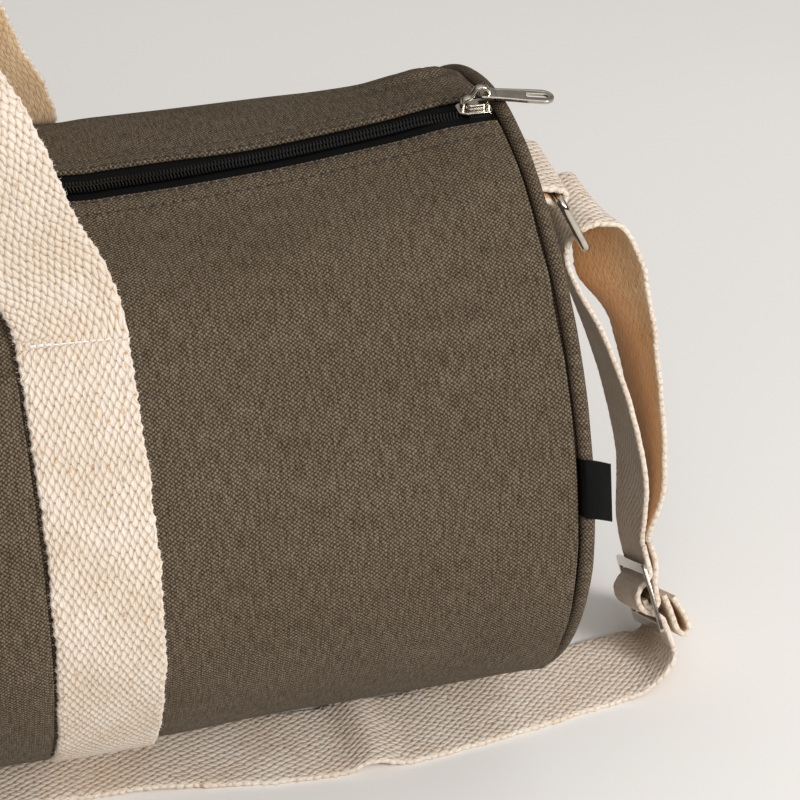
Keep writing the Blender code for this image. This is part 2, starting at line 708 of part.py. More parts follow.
def tab(name, side):
    """A webbing loop from the end seam, folded round the ring's top bar."""
    wrap_radius = RING_WIRE + GAP + WEBBING / 2
    bar = np.array(RING_TOP)
    turn = [bar + wrap_radius * np.array([np.cos(a * DEG), np.sin(a * DEG)]) for a in (70, 30, -10, -55, -100, -140)]
    root_top = np.array([BAG_HALF_LENGTH + PIPING_RADIUS * 1.45, bar[1] + WEBBING * 7.6])
    over = np.array([BAG_HALF_LENGTH + PIPING_RADIUS * 4.8, bar[1] + WEBBING * 6.4])
    root_low = root_top - [-GAP * 5, WEBBING * 2.6]
    line = [root_top, over, *turn, bar + [-wrap_radius * 1.5, WEBBING * 1.6], root_low]
    line = smooth_line([(x * side, 0, z) for x, z in line], TAB_STEP)
    ribbon(name, line, [(0, 1, 0)] * len(line), TAB_WIDTH, WEBBING, webbing)


tab("strap_tab_right", 1)
tab("strap_tab_left", -1)

adjuster_down = Vector(ADJUSTER_DOWN).normalized()
adjuster_across = Vector(ADJUSTER_ACROSS)
adjuster_across = (adjuster_across - adjuster_down * adjuster_across.dot(adjuster_down)).normalized()
adjuster_out = adjuster_down.cross(adjuster_across)


def adjuster():
    """A flat frame with two slots and a middle bar."""
    half_width, half_length = RING_INSIDE / 2, ADJUSTER_HALF_LENGTH
    outside = [(a * (half_width + ADJUSTER_SIDE), b * half_length) for a, b in ((-1, -1), (1, -1), (1, 1), (-1, 1))]
    low, high = ADJUSTER_BAR / 2, half_length - ADJUSTER_BAR
    slots = [
        [(-half_width, s * low), (half_width, s * low), (half_width, s * high), (-half_width, s * high)]
        for s in (-1, 1)
    ]
    made = prism("strap_adjuster", [outside, *slots], "Z", -ADJUSTER_PLATE / 2, ADJUSTER_PLATE / 2, nickel)
    place = Matrix((adjuster_across, adjuster_down, adjuster_out)).transposed().to_4x4()
    place.translation = Vector(ADJUSTER_CENTRE)
    made.data.transform(Matrix.Translation(-Vector(swing_axis)) @ place)
    made.location = swing_axis
    if sum(p.area * p.normal.dot(p.center) for p in made.data.polygons) < 0:
        made.data.flip_normals()


adjuster()


def strap():
    """The whole strap: sewn round the adjuster, up and through the ring, down, along the floor, up."""
    across_top, across_low = np.array([0.0, 1.0, 0.0]), np.array(adjuster_across)
    centre, down, out = (np.array(v) for v in (ADJUSTER_CENTRE, adjuster_down, adjuster_out))
    mirror = np.array([-1, 1, 1, -1, 1, 1])

    def woven(pairs):
        return [np.array([*(centre + down * d * MM + out * n * MM), *across_low]) for d, n in pairs]

    def layer(edges):
        made = []
        for x, y, z in np.array(edges) * MM:
            low_share = np.clip((RING_FOOT[1] - z) / (RING_FOOT[1] - ADJUSTER_CENTRE[2]), 0, 1)
            across = across_top + (across_low - across_top) * low_share
            across = across / np.linalg.norm(across)
            made.append(np.array([*(np.array([x, y, z]) + across * WEBBING_WIDTH / 2), *across]))
        return made

    def placed(rows):
        return [np.array([x * MM, y * MM, z * MM, *across]) for x, y, z, *across in rows]

    right = woven(SEWN_WEAVE_MM[::-1]) + layer(OUTER_LAYER_MM[::-1]) + layer(RING_TURN_MM[::-1])
    right += layer(INNER_LAYER_MM) + woven(PASSING_WEAVE_MM) + placed(STRAP_TURN_MM)
    floor = [np.array([x * MM, y * MM, WEBBING / 2, *across_top]) for x, y in FLOOR_RUN_MM]
    left = floor[-2::-1] + placed(STRAP_TURN_MM[::-1]) + placed(LEFT_RISE_MM)
    left += layer(INNER_LAYER_MM[::-1]) + layer(RING_TURN_MM) + layer(LEFT_RETURN_MM)
    line = smooth_line(right + floor + [p * mirror for p in left], STRAP_STEP)
    ribbon("strap_webbing", line[:, :3], line[:, 3:], WEBBING_WIDTH, WEBBING, webbing, swing_axis)


strap()
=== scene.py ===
"""Looks of the round canvas gym bag: cloth, webbing, thread, zip and nickel fittings. Metres, +Z up."""

import bpy
import numpy as np
from mathutils import Matrix, Vector


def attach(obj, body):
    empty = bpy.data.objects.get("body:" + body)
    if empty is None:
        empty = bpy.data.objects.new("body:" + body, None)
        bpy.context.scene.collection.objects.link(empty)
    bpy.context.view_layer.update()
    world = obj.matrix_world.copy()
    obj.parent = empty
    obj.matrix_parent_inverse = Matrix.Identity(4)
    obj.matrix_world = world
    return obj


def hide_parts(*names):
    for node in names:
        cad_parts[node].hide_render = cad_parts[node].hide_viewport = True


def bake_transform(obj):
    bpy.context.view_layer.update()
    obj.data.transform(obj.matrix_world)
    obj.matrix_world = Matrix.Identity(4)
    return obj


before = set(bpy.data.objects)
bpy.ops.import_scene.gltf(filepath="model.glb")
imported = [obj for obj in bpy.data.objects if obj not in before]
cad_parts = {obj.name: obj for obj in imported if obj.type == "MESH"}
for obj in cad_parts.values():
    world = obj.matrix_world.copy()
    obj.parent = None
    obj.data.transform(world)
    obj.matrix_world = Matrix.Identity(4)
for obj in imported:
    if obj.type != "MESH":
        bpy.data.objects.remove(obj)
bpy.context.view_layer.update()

MM = 0.001
PI = np.pi
ENDS = ((1, "right"), (-1, "left"))
# The zip's four quarters: front or back strip, right or left half
STRIPS = ((-1, "front"), (1, "back"))
QUARTERS = [(side, which, half, end) for side, which in STRIPS for half, end in ENDS]

# Sizes of the solids, repeated here so that every piece of cloth lies where its solid does
BAG_HALF_LENGTH = 250 * MM
BODY_HALF_WIDTH = 128 * MM
BODY_TOP = 249 * MM
BELLY_HEIGHT = 2.7 * MM
BELLY_FLATTENING = 3 * MM
RIM_TOP = 252 * MM
RIM_BOTTOM = 7 * MM
ROUND_POWER = 1.83
PIPING_RADIUS = 2.75 * MM
CANVAS = 1.2 * MM
GAP = 0.3 * MM
END_BULGE = 8 * MM
HINGE_ANGLE = 120.0
ZIP_OPENING_HALF = 7 * MM
WEBBING_WIDTH = 40 * MM
WEBBING = 2.4 * MM
HANDLE_LEG_X = 72 * MM
STITCH_ANGLE = 127.5
SEAM_OFFSET = -(PIPING_RADIUS + GAP)
SEAM_X = BAG_HALF_LENGTH - GAP / 2
GROOVE_X = BAG_HALF_LENGTH - PIPING_RADIUS - GAP
SHOULDER_X = 245.8 * MM

# Cloth
FOLD_TABLE = np.random.default_rng(7).uniform(-1, 1, (64, 64, 8))
CLOTH_STEP = 3.5 * MM
HEM = 10.5 * MM
HEM_THICKNESS = 1.9 * MM
HEM_LIFT = 0.5 * MM
TAPE = 0.7 * MM
TAPE_DEPTH = 1.5 * MM
COIL_PITCH = 1.3 * MM
# Stitches: pitch, length and half thickness
STRIP_STITCHES = (4.0 * MM, 2.8 * MM, 0.42 * MM)
POCKET_STITCHES = (4.0 * MM, 2.7 * MM, 0.3 * MM)
HANDLE_STITCHES = (2.6 * MM, 2.3 * MM, 0.3 * MM)
HANDLE_TAIL_STITCHES = (2.6 * MM, 2.2 * MM, 0.26 * MM)


def linear(code):
    """An sRGB hex colour as linear RGBA."""
    parts = np.array([int(code[i : i + 2], 16) for i in (1, 3, 5)]) / 255
    parts = np.where(parts <= 0.04045, parts / 12.92, ((parts + 0.055) / 1.055) ** 2.4)
    return (*parts.tolist(), 1.0)


def smooth(value, low, high):
    share = np.clip((value - low) / (high - low), 0, 1)
    return share * share * (3 - 2 * share)


def peak(value, centre, width):
    """A round hump, 1 at its centre."""
    return np.exp(-(((value - centre) / width) ** 2))


def unit(vectors):
    """Each vector with length 1."""
    return vectors / np.maximum(np.linalg.norm(vectors, axis=-1, keepdims=True), 1e-9)


def add(tree, kind, settings=None, inputs=None):
    """A shader node with its settings; an input is a plain value, a Field or another node's output."""
    made = tree.nodes.new("ShaderNode" + kind)
    for name, value in (settings or {}).items():
        setattr(made, name, value)
    for key, value in (inputs or {}).items():
        value = value.socket if isinstance(value, Field) else value
        if isinstance(value, bpy.types.NodeSocket):
            tree.links.new(value, made.inputs[key])
        else:
            made.inputs[key].default_value = value
    return made


class Field:
    """A number at every point of a surface; arithmetic on it adds math nodes."""

    def __init__(self, tree, socket):
        self.tree, self.socket = tree, socket

    def math(self, operation, *others, first=None):
        values = (self, *others) if first is None else (first, self)
        node = add(self.tree, "Math", {"operation": operation}, dict(enumerate(values)))
        return Field(self.tree, node.outputs[0])

    def __add__(self, other):
        return self.math("ADD", other)

    def __sub__(self, other):
        return self.math("SUBTRACT", other)

    def __rsub__(self, other):
        return self.math("SUBTRACT", first=other)

    def __mul__(self, other):
        return self.math("MULTIPLY", other)

    def __truediv__(self, other):
        return self.math("DIVIDE", other)

    def above(self, least):
        return self.math("MAXIMUM", least)

    def below(self, most):
        return self.math("MINIMUM", most)


def noise(tree, place, scale, detail=2.0, stretch=None, **settings):
    """Cloudy noise between 0 and 1, drawn out along the cloth where it has a stretch."""
    if stretch:
        place = add(tree, "Mapping", None, {"Vector": place, "Scale": (*stretch, 1)}).outputs[0]
    node = add(tree, "TexNoise", None, {"Vector": place, "Scale": scale, "Detail": detail, **settings})
    return Field(tree, node.outputs["Fac"])


def colours(tree, factor, stops):
    """A colour ramp given as (place, hex) pairs."""
    made = add(tree, "ValToRGB", None, {"Fac": factor})
    ramp = made.color_ramp
    while len(ramp.elements) < len(stops):
        ramp.elements.new(0.5)
    for element, (place, code) in zip(ramp.elements, stops):
        element.position = place
        element.color = linear(code)
    return made.outputs["Color"]


def mix(tree, factor, first, second, blend="MIX"):
    node = add(tree, "Mix", {"data_type": "RGBA", "blend_type": blend}, {0: factor, 6: first, 7: second})
    return node.outputs[2]


def bump(tree, height, strength, depth, **under):
    inputs = {"Height": height, "Strength": strength, "Distance": depth, **under}
    return add(tree, "Bump", None, inputs).outputs[0]


def blank(name, roughness, **sockets):
    """A new material, its node tree and its shader."""
    made = bpy.data.materials.new(name)
    made.use_nodes = True
    tree = made.node_tree
    shader = tree.nodes["Principled BSDF"]
    shader.inputs["Roughness"].default_value = roughness
    for key, value in sockets.items():
        shader.inputs[key.replace("_", " ")].default_value = value
    return made, tree, shader


def feed(tree, shader, **sources):
    """Joins nodes to the shader's sockets."""
    for key, source in sources.items():
        tree.links.new(source, shader.inputs[key.replace("_", " ")])


def vector(tree, operation, *values):
    return add(tree, "VectorMath", {"operation": operation}, dict(enumerate(values))).outputs[0]


def solid_place(tree):
    return add(tree, "TexCoord").outputs["Object"]


def thread_plane(tree, across, along, wobble):
    """Cloth coordinates, and the same counted in threads, a little uneven as spun yarn is."""
    place = add(tree, "UVMap", {"uv_map": "cloth"}).outputs["UV"]
    uneven = add(tree, "TexNoise", None, {"Vector": place, "Scale": 0.33 / across, "Detail": 2.0})
    shifted = vector(tree, "MULTIPLY_ADD", uneven.outputs["Color"], (wobble * across,) * 3, place)
    parts = add(tree, "SeparateXYZ", None, {0: shifted})
    return place, Field(tree, parts.outputs[0]) / across, Field(tree, parts.outputs[1]) / along


def floats(u, v, wide, long):
    """Staggered floats: height, how far the border is, which set shows, and places across both sets."""
    across, along = u.math("PINGPONG", 1.0), v.math("PINGPONG", 1.0)
    past, beyond = 1.0 - across, 1.0 - along
    first = 1.0 - across * across * wide - along * along * long
    second = 1.0 - past * past * wide - beyond * beyond * long
    border = (first - second).math("ABSOLUTE")
    return first.above(second), border, first.math("GREATER_THAN", second), (across, past)


def float_number(tree, u, v, is_first):
    """A random number for each float of the weave."""
    pair, half = add(tree, "CombineXYZ", None, {0: u * 0.5, 1: v * 0.5}).outputs[0], (0.5, 0.5, 0)
    first = vector(tree, "FLOOR", vector(tree, "ADD", pair, half))
    second = vector(tree, "ADD", vector(tree, "FLOOR", pair), half)
    cell = add(tree, "Mix", {"data_type": "VECTOR"}, {0: is_first, 4: second, 5: first}).outputs[1]
    node = add(tree, "TexWhiteNoise", {"noise_dimensions": "2D"}, {"Vector": cell})
    return Field(tree, node.outputs["Value"])


def husk_flecks(tree, place, tint):
    """Specks of cotton husk spun into a few threads."""
    grid = add(tree, "Mapping", None, {"Vector": place, "Scale": (1 / (0.8 * MM), 1 / (1.9 * MM), 1)})
    cell = vector(tree, "FLOOR", grid.outputs[0])
    fleck = add(tree, "TexWhiteNoise", {"noise_dimensions": "2D"}, {"Vector": cell})
    shown = Field(tree, fleck.outputs["Value"]).math("GREATER_THAN", 0.995) * 0.55
    husk = colours(tree, fleck.outputs["Color"], [(0.15, "#7a4a26"), (0.45, "#c98a3d"), (0.8, "#dcae66")])
    return mix(tree, shown, tint, husk)


def plain_weave(name, pitch, stops, relief, mottle, shade):
    """Cotton in plain weave: matt, with standing floats, pits between them coloured dark as painted shade,
    and uneven yarn.
    """
    made, tree, shader = blank(name, 0.95, Specular_IOR_Level=0.3)
    place, u, v = thread_plane(tree, pitch, pitch * 0.83, 1.7)
    height = floats(u, v, 2.2, 1.3)[0].above(-0.5)
    slubs = noise(tree, place, 1.0, stretch=(0.9 / pitch, 0.12 / pitch))
    specks = noise(tree, place, 0.8 / pitch)
    # The floats' height also sets the colour, dark in the pits and light on the tops: painted shade
    level = height * 0.66 + 0.34 + ((slubs + specks) * 0.7 - 0.7)
    patches = noise(tree, place, 22.0, 3.0, Roughness=0.6)
    tone = colours(tree, patches, [(0.3, shade), (0.7, "#ffffff")])
    tint = mix(tree, mottle, colours(tree, level, stops), tone, "MULTIPLY")
    feed(tree, shader, Base_Color=tint, Normal=bump(tree, height, 0.6, relief))
    return made


def heavy_webbing(name, across, along, shape, stops, relief):
    """Undyed cotton webbing: leaf-shaped floats of doubled yarn, tan pits, splits and borders between them as
    painted shade, flecks of husk.
    """
    made, tree, shader = blank(name, 0.95, Sheen_Weight=0.1, Sheen_Roughness=0.5, Specular_IOR_Level=0.3)
    place, u, v = thread_plane(tree, across, along, 1.9)
    height, border, is_first, (beside, past) = floats(u, v, *shape)
    random = float_number(tree, u, v, is_first)
    split = (beside.below(past) * -7.0 + 1.0).above(0.0) * (random * 2.0).below(1.0)
    outline = (border * -2.4 + 1.0).above(0.0)
    fibres = noise(tree, place, 1.0, 3.0, stretch=(3.0 / across, 0.7 / along))
    rungs = (v * 14.0).math("COSINE") * (0.15 - height).above(0.0)
    standing = random * 0.3 + height.above(-0.6)
    # Colour follows the relief, lighter on standing floats, darker in splits, borders and pits: painted shade
    level = standing * 0.42 + 0.46 + (fibres * 0.5 - 0.25) + split * -0.16 + outline * -0.14 + rungs * 0.25
    tint = husk_flecks(tree, place, colours(tree, level, stops))
    tone = colours(tree, noise(tree, place, 40.0), [(0.3, "#f2ebe3"), (0.7, "#ffffff")])
    coarse = bump(tree, standing + split * -0.3 + outline * -0.2, 0.6, relief)
    fine = bump(tree, fibres, 0.4, 0.15 * MM, Normal=coarse)
    feed(tree, shader, Base_Color=mix(tree, 0.9, tint, tone, "MULTIPLY"), Normal=fine)
    return made


def spun_thread(name, dark, light):
    """Sewing thread: two plies twisted, seen as fine slanting lines."""
    made, tree, shader = blank(name, 0.7, Sheen_Weight=0.1)
    plies = noise(tree, solid_place(tree), 2500.0, 1.0)
    feed(tree, shader, Base_Color=colours(tree, plies, [(0.35, dark), (0.65, light)]))
    return made


def black_tape(name, pitch, dark, light, roughness, shine):
    """Dyed polyester tape: close ribs across its width, darker between them as painted shade, and a slight
    shine on each rib.
    """
    made, tree, shader = blank(name, roughness, Specular_IOR_Level=shine)
    _, u, v = thread_plane(tree, pitch, pitch, 0.4)
    ribs, cords = ((count * PI).math("SINE").math("ABSOLUTE") for count in (u, v))
    height = ribs * (cords * 0.5 + 0.5)
    # Colour from the ribs' height, darker between them: painted shade
    tint = colours(tree, height, [(0.1, dark), (0.9, light)])
    feed(tree, shader, Base_Color=tint, Normal=bump(tree, height, 0.6, 0.15 * MM))
    return made


def nylon_coil(name):
    """Black nylon monofilament: smooth and hard, so every turn carries a small bright point."""
    made, tree, shader = blank(name, 0.16, Base_Color=linear("#050505"), Specular_IOR_Level=0.5)
    dust = noise(tree, solid_place(tree), 900.0)
    feed(tree, shader, Base_Color=colours(tree, dust, [(0.4, "#030303"), (0.8, "#0a0a0a")]))
    return made


def bright_nickel(name):
    """Nickel plate on die-cast zinc: mirror bright, faintly warm, with fine handling marks."""
    made, tree, shader = blank(name, 0.14, Metallic=1.0, Base_Color=linear("#d9d4cc"))
    place = solid_place(tree)
    cloud = noise(tree, place, 220.0, 3.0)
    rub = add(tree, "MapRange", None, {0: cloud, 3: 0.08, 4: 0.24})
    grain = bump(tree, noise(tree, place, 1800.0), 0.08, 0.05 * MM)
    tint = colours(tree, cloud, [(0.3, "#b5ada2"), (0.7, "#cbc4b9")])
    feed(tree, shader, Base_Color=tint, Roughness=rub.outputs[0], Normal=grain)
    return made


# Cotton canvas, olive brown: warp threads 0.93 mm apart; the darkest stops are painted shade in the pits
CANVAS_STOPS = [(0.0, "#0f0905"), (0.26, "#2e2317"), (0.5, "#4c3f30"), (0.75, "#5c4f3f"), (1.0, "#7c705f")]
SEAM_TAPE_STOPS = [(0.2, "#2e261c"), (0.9, "#6c5d4a")]
canvas = plain_weave("cotton_canvas", 0.93 * MM, CANVAS_STOPS, 0.3 * MM, 0.5, "#ddd5c9")
seam_tape = plain_weave("cotton_seam_tape", 0.8 * MM, SEAM_TAPE_STOPS, 0.2 * MM, 0.4, "#d0c8bc")
# Cotton webbing: (across, along) a float, then how sharply it falls off both ways; the low stops are painted
# shade in the pits
WEBBING_STOPS = [(0.0, "#98724e"), (0.2, "#ba9b7b"), (0.38, "#cfb89f"), (0.58, "#e0d0be"), (1.0, "#ece2d6")]
# The inner face is the same cream cotton with its own weave; its darker, warmer tan stops are painted warm
# shade
BACK_SHADE_STOPS = [(0.55, "#a57c52"), (0.68, "#cfa97e"), (0.85, "#e0c19a"), (1.0, "#ecd4b4")]
webbing_face = heavy_webbing("cotton_webbing", 1.42 * MM, 2.5 * MM, (2.0, 1.5), WEBBING_STOPS, 0.8 * MM)
webbing_back_painted_shade = heavy_webbing(
    "cotton_webbing_inner_face_painted_shade", 1.3 * MM, 2.6 * MM, (1.25, 0.35), BACK_SHADE_STOPS, 0.3 * MM
)
webbing_edge = heavy_webbing("cotton_webbing_edge", 1.3 * MM, 1.7 * MM, (0.9, 0.8), WEBBING_STOPS, 0.6 * MM)
cotton_fibre = spun_thread("loose_cotton_fibre", "#d9c8b4", "#efe6da")
# Olive stitches coloured near black: the thread is real, its darkness is painted shade in the sunk stitch
# holes
olive_thread_painted_shade = spun_thread("olive_sewing_thread_painted_shade", "#150f09", "#2c2319")
white_thread = spun_thread("white_sewing_thread", "#dcd8d4", "#fbfaf8")
zip_tape = black_tape("zip_tape", 0.8 * MM, "#020202", "#0b0b0b", 0.8, 0.12)
label_tape = black_tape("satin_label_tape", 0.5 * MM, "#010101", "#030303", 0.3, 0.12)
coil_nylon = nylon_coil("zip_coil_nylon")
nickel = bright_nickel("bright_nickel_plate")


# Meshes
def piece(name, points, faces, looks, uvs=None, look_of_face=None, sharp=50):
    """A smooth mesh object; uvs holds one (u, v) for each corner of each face."""
    mesh = bpy.data.meshes.new(name)
    mesh.from_pydata(np.asarray(points, float).reshape(-1, 3).tolist(), [], faces)
    for look in looks:
        mesh.materials.append(look)
    if uvs is not None:
        layer = mesh.uv_layers.new(name="cloth")
        layer.data.foreach_set("uv", np.asarray(uvs, np.float32).ravel())
    if look_of_face is not None:
        mesh.polygons.foreach_set("material_index", look_of_face)
    return shown(name, mesh, sharp)


def shown(name, mesh, sharp):
    """The mesh as an object of the scene, smooth but for edges sharper than this many degrees."""
    mesh.shade_smooth()
    mesh.set_sharp_from_angle(angle=np.radians(sharp))
    made = bpy.data.objects.new(name, mesh)
    bpy.context.scene.collection.objects.link(made)
    return made


def band_faces(a, b, count):
    """Four-sided faces between two rings of points, which start at points a and b."""
    return [(a + k, a + (k + 1) % count, b + (k + 1) % count, b + k) for k in range(count)]


def sweep(name, rows, uv_rows, looks, column_looks=None, caps=(True, True), closed=False, sharp=50):
    """Rows of closed outlines joined one to the next. uv_rows has one more column than rows."""
    rows = np.asarray(rows, float)
    count, columns = rows.shape[:2]
    faces, uvs, kinds = [], [], []
    for i in range(count if closed else count - 1):
        faces += band_faces(i * columns, (i + 1) % count * columns, columns)
        kinds += column_looks or [0] * columns
        for k in range(columns):
            uvs += [uv_rows[i][k], uv_rows[i][k + 1], uv_rows[i + 1][k + 1], uv_rows[i + 1][k]]
    for i, wanted in ((0, caps[0]), (count - 1, caps[1])):
        if closed or not wanted:
            continue
        for k in range(columns // 2 - 1):
            quad = (k, k + 1, columns - 2 - k, columns - 1 - k)
            quad = quad[::-1] if i == 0 else quad
            faces.append(tuple(i * columns + q for q in quad))
            uvs += [uv_rows[i][q] for q in quad]
            kinds.append(0)
    return piece(name, rows, faces, looks, uvs, kinds, sharp)


def sheet_uvs(places, round_section):
    """Cloth coordinates of a sheet's rows: the row's place along, then the distance round its section."""
    return [np.stack([np.full(len(round_section), place), round_section], -1) for place in places]


def stand(x, flat):
    """Points at a place along the bag, from their places across it and up."""
    return np.stack([np.broadcast_to(x, flat.shape[:-1]), flat[..., 0], flat[..., 1]], -1)


def lengths(line):
    """Distance along a line of points, at each point."""
    return np.concatenate([[0], np.cumsum(np.linalg.norm(np.diff(line[:, :3], axis=0), axis=1))])


class Oval:
    """A rounded section with a flattened bottom; angles run from +Y over the top."""

    def __init__(self, half_width, top, bottom):
        self.half_width, self.bottom = half_width, bottom
        self.half_height = (top - bottom + BELLY_FLATTENING) / 2
        self.centre = top - self.half_height

    def point(self, angle, offset=0.0):
        angle, offset = np.broadcast_arrays(np.asarray(angle, float), np.asarray(offset, float))
        c, s = np.cos(np.radians(angle)), np.sin(np.radians(angle))
        reach = (np.abs(c) ** ROUND_POWER + np.abs(s) ** ROUND_POWER) ** (-1 / ROUND_POWER)
        out = unit(np.stack([
            np.sign(c) * np.abs(c * reach) ** (ROUND_POWER - 1) / self.half_width,
            np.sign(s) * np.abs(s * reach) ** (ROUND_POWER - 1) / self.half_height,
        ], -1))
        flat = np.stack([self.half_width * reach * c, self.centre + self.half_height * reach * s], -1)
        flat = flat + out * offset[..., None]
        flat[..., 1] = np.maximum(flat[..., 1], self.bottom - offset)
        return flat


BODY = Oval(BODY_HALF_WIDTH, BODY_TOP, BELLY_HEIGHT)
RIM = Oval(BODY_HALF_WIDTH, RIM_TOP, RIM_BOTTOM)
TURN_TABLE = np.linspace(0, 720, 2881)
ARC_TABLE = lengths(BODY.point(TURN_TABLE))


def arc(angle):
    """Distance round the body, in metres, at an angle."""
    return np.interp(angle, TURN_TABLE, ARC_TABLE)


def angle_at(distance):
    return np.interp(distance, ARC_TABLE, TURN_TABLE)


def ripple(x, angle, cell, around, layer):
    """Smooth random swells between -1 and 1, a cell long and a whole number of cells around."""
    u, v = np.broadcast_arrays(np.asarray(x, float) / cell + 20, np.asarray(angle, float) / 360 * around)
    i, j = np.floor(u).astype(int), np.floor(v).astype(int)
    s, t = smooth(u - i, 0, 1), smooth(v - j, 0, 1)

    def at(a, b):
        return FOLD_TABLE[a % 64, b % around, layer]

    low = at(i, j) * (1 - s) + at(i + 1, j) * s
    high = at(i, j + 1) * (1 - s) + at(i + 1, j + 1) * s
    return low * (1 - t) + high * t


def underneath(angle, edge, full):
    """1 under the bag, 0 from a number of degrees away from its lowest line."""
    return smooth(-np.abs((angle % 360) - 270), -edge, -full)


def swell(x, angle):
    """Broad uneven fullness of the stuffed cloth, outward: less on the floor and at the zip."""
    free = 1 - 0.75 * underneath(angle, 60, 25)
    calm = 1 - 0.75 * peak(angle % 360, 90, 14.0)
    broad = 1.3 * ripple(x, angle, 85 * MM, 9, 0) + 0.45 * ripple(x, angle, 34 * MM, 24, 1)
    return broad * MM * free * calm


# Gathers behind the zip's ends: angle at the seam, degrees per metre away from it, height in mm
END_GATHERS = [
    (78.0, -60, 2.4), (73.0, -20, -3.2), (68.0, 20, 3.0),
    (63.0, 60, -3.2), (57.5, 110, 2.0), (107.0, 90, 0.8),
]
GATHER_SPREAD = 2.4
GATHER_REACH = 34 * MM


def fold(x, angle):
    """The swell, and the puckers, gathers and dips beside the end seams and the webbing."""
    turned = angle % 360
    from_end = GROOVE_X - np.abs(x)
    free = 1 - 0.8 * underneath(angle, 60, 25)
    calm = 1 - 0.6 * peak(turned, 90, 10.0)

    def fade(reach):
        return np.exp(-np.maximum(from_end, 0) / reach)

    pucker = 1.5 * ripple(x, angle, 50 * MM, 46, 2) * fade(16 * MM)
    pucker = pucker + 0.5 * ripple(x, angle, 20 * MM, 60, 3) * fade(30 * MM)
    gather = sum(rise * peak(turned, at + slant * from_end, GATHER_SPREAD) for at, slant, rise in END_GATHERS)
    gather = gather * fade(GATHER_REACH) * smooth(from_end, 1 * MM, 11 * MM)
    seam_dip = -0.4 * peak(from_end, 12 * MM, 6 * MM)
    tight = -0.45 * peak(np.abs(np.abs(x) - HANDLE_LEG_X) - WEBBING_WIDTH / 2, 0, 6 * MM)
    return swell(x, angle) + (pucker * calm + gather + seam_dip + tight) * MM * free


def flare(x, angle):
    """How far the cloth puffs up towards the piping, most beside the zip and over the shoulders."""
    turned = np.abs((angle % 360) - 90)
    top = smooth(turned, 4, 16) * (1 - smooth(turned, 40, 80))
    free = 1 - underneath(angle, 70, 35)
    return (2.1 + 1.5 * top) * MM * free * smooth(np.abs(x), 205 * MM, 241 * MM)


# How far the top hangs between the two end rings, at distances from mid-length, both in millimetres
SAG_PLACES_MM = [0, 95, 116, 130, 144, 158, 172, 185, 199, 213, 223, 232, 250]
SAG_DEPTHS_MM = [10.5, 10.5, 10.2, 9.4, 8.5, 7.4, 6.0, 4.4, 2.6, 0.7, -0.6, -1.2, -1.3]
SAG_BLUR = 6 * MM


def sag(x, angle):
    """The top's hang, which fades out over the shoulders; it stands a little proud beside the rings."""
    places, turned = np.array(SAG_PLACES_MM) * MM, np.abs((angle % 360) - 90)
    depth = sum(np.interp(np.abs(x) + shift, places, SAG_DEPTHS_MM) for shift in (-SAG_BLUR, 0, SAG_BLUR)) / 3
    return depth * MM * (1 - smooth(turned, 6, 34))


def skin(x, angle, offset=0.0, lift=None):
    """Points on the bag's cloth, moved outward by the offset."""
    x, angle, offset = np.broadcast_arrays(*(np.asarray(v, float) for v in (x, angle, offset)))
    edge = smooth(np.abs(x), SHOULDER_X, GROOVE_X)
    lift = fold(x, angle) if lift is None else lift
    body = BODY.point(angle, lift * (1 - edge) + flare(x, angle) + offset)
    rim = RIM.point(angle, SEAM_OFFSET + offset)
    flat = body + (rim - body) * edge[..., None]
    flat[..., 1] -= sag(x, angle) * (1 - edge)
    return stand(x, flat)


def along_x(low, high, step):
    """Places along the bag, closer together beside the end seams."""
    near_seam = SHOULDER_X - 6 * MM
    inner = np.linspace(low, high, max(2, int(round((high - low) / step))) + 1)
    extra = [s * v for s in (-1, 1) for v in np.linspace(near_seam, SEAM_X, 14)]
    keep = [v for v in extra if low <= v <= high]
    inner = [v for v in inner if abs(v) < near_seam or not keep]
    return np.array(sorted(set(np.round([*inner, *keep], 6))))


def body_cloth():
    """One sheet round the front, the bottom and the back."""
    xs = along_x(-SEAM_X, SEAM_X, CLOTH_STEP)
    angles = np.linspace(HINGE_ANGLE, 540 - HINGE_ANGLE, 176)
    rows = [np.vstack([skin(x, angles), skin(x, angles, -CANVAS)[::-1]]) for x in xs]
    v = arc(angles)
    made = sweep("body_cloth", rows, sheet_uvs(xs, np.concatenate([v, v[::-1], v[:1]])), [canvas])
    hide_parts("body_panel")
    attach(made, "bag")


# Strips beside the zip, each cut in two at mid-length.
# Setback of each strip's hem from the zip: at the ends, and how much more at mid-length
LIP_SETBACK = {-1: (1.6 * MM, 0.0), 1: (0.8 * MM, 3.4 * MM)}
EDGE_ANGLE = float(TURN_TABLE[np.argmin(np.abs(BODY.point(TURN_TABLE[:721])[:, 0] + ZIP_OPENING_HALF))])
LIP_WIDTH = arc(HINGE_ANGLE) - arc(EDGE_ANGLE)
HINGE = BODY.point(HINGE_ANGLE)
# Distances of the two stitch rows from each strip's zip edge
EDGE_STITCH = 1.8 * MM
HEM_STITCH = 8.6 * MM


def lip_angle(distance, side, x):
    """The angle at a distance from the zip edge of the front (-1) or back (1) strip."""
    distance = np.asarray(distance, float)
    at_end, at_middle = LIP_SETBACK[side]
    back = at_end + at_middle * (1 - smooth(np.abs(x), 115 * MM, 155 * MM))
    back = back * (1 - smooth(distance, 14 * MM, LIP_WIDTH))
    angle = angle_at(arc(EDGE_ANGLE) + distance + back)
    return angle if side < 0 else 180 - angle


def opens(made, side):
    """Bakes the piece's place into its mesh; the hinge start and rise worked out here are not used."""
    start = np.array([0, side * -HINGE[0], HINGE[1]])
    rise = -side / (-HINGE[0] - ZIP_OPENING_HALF)
    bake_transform(made)


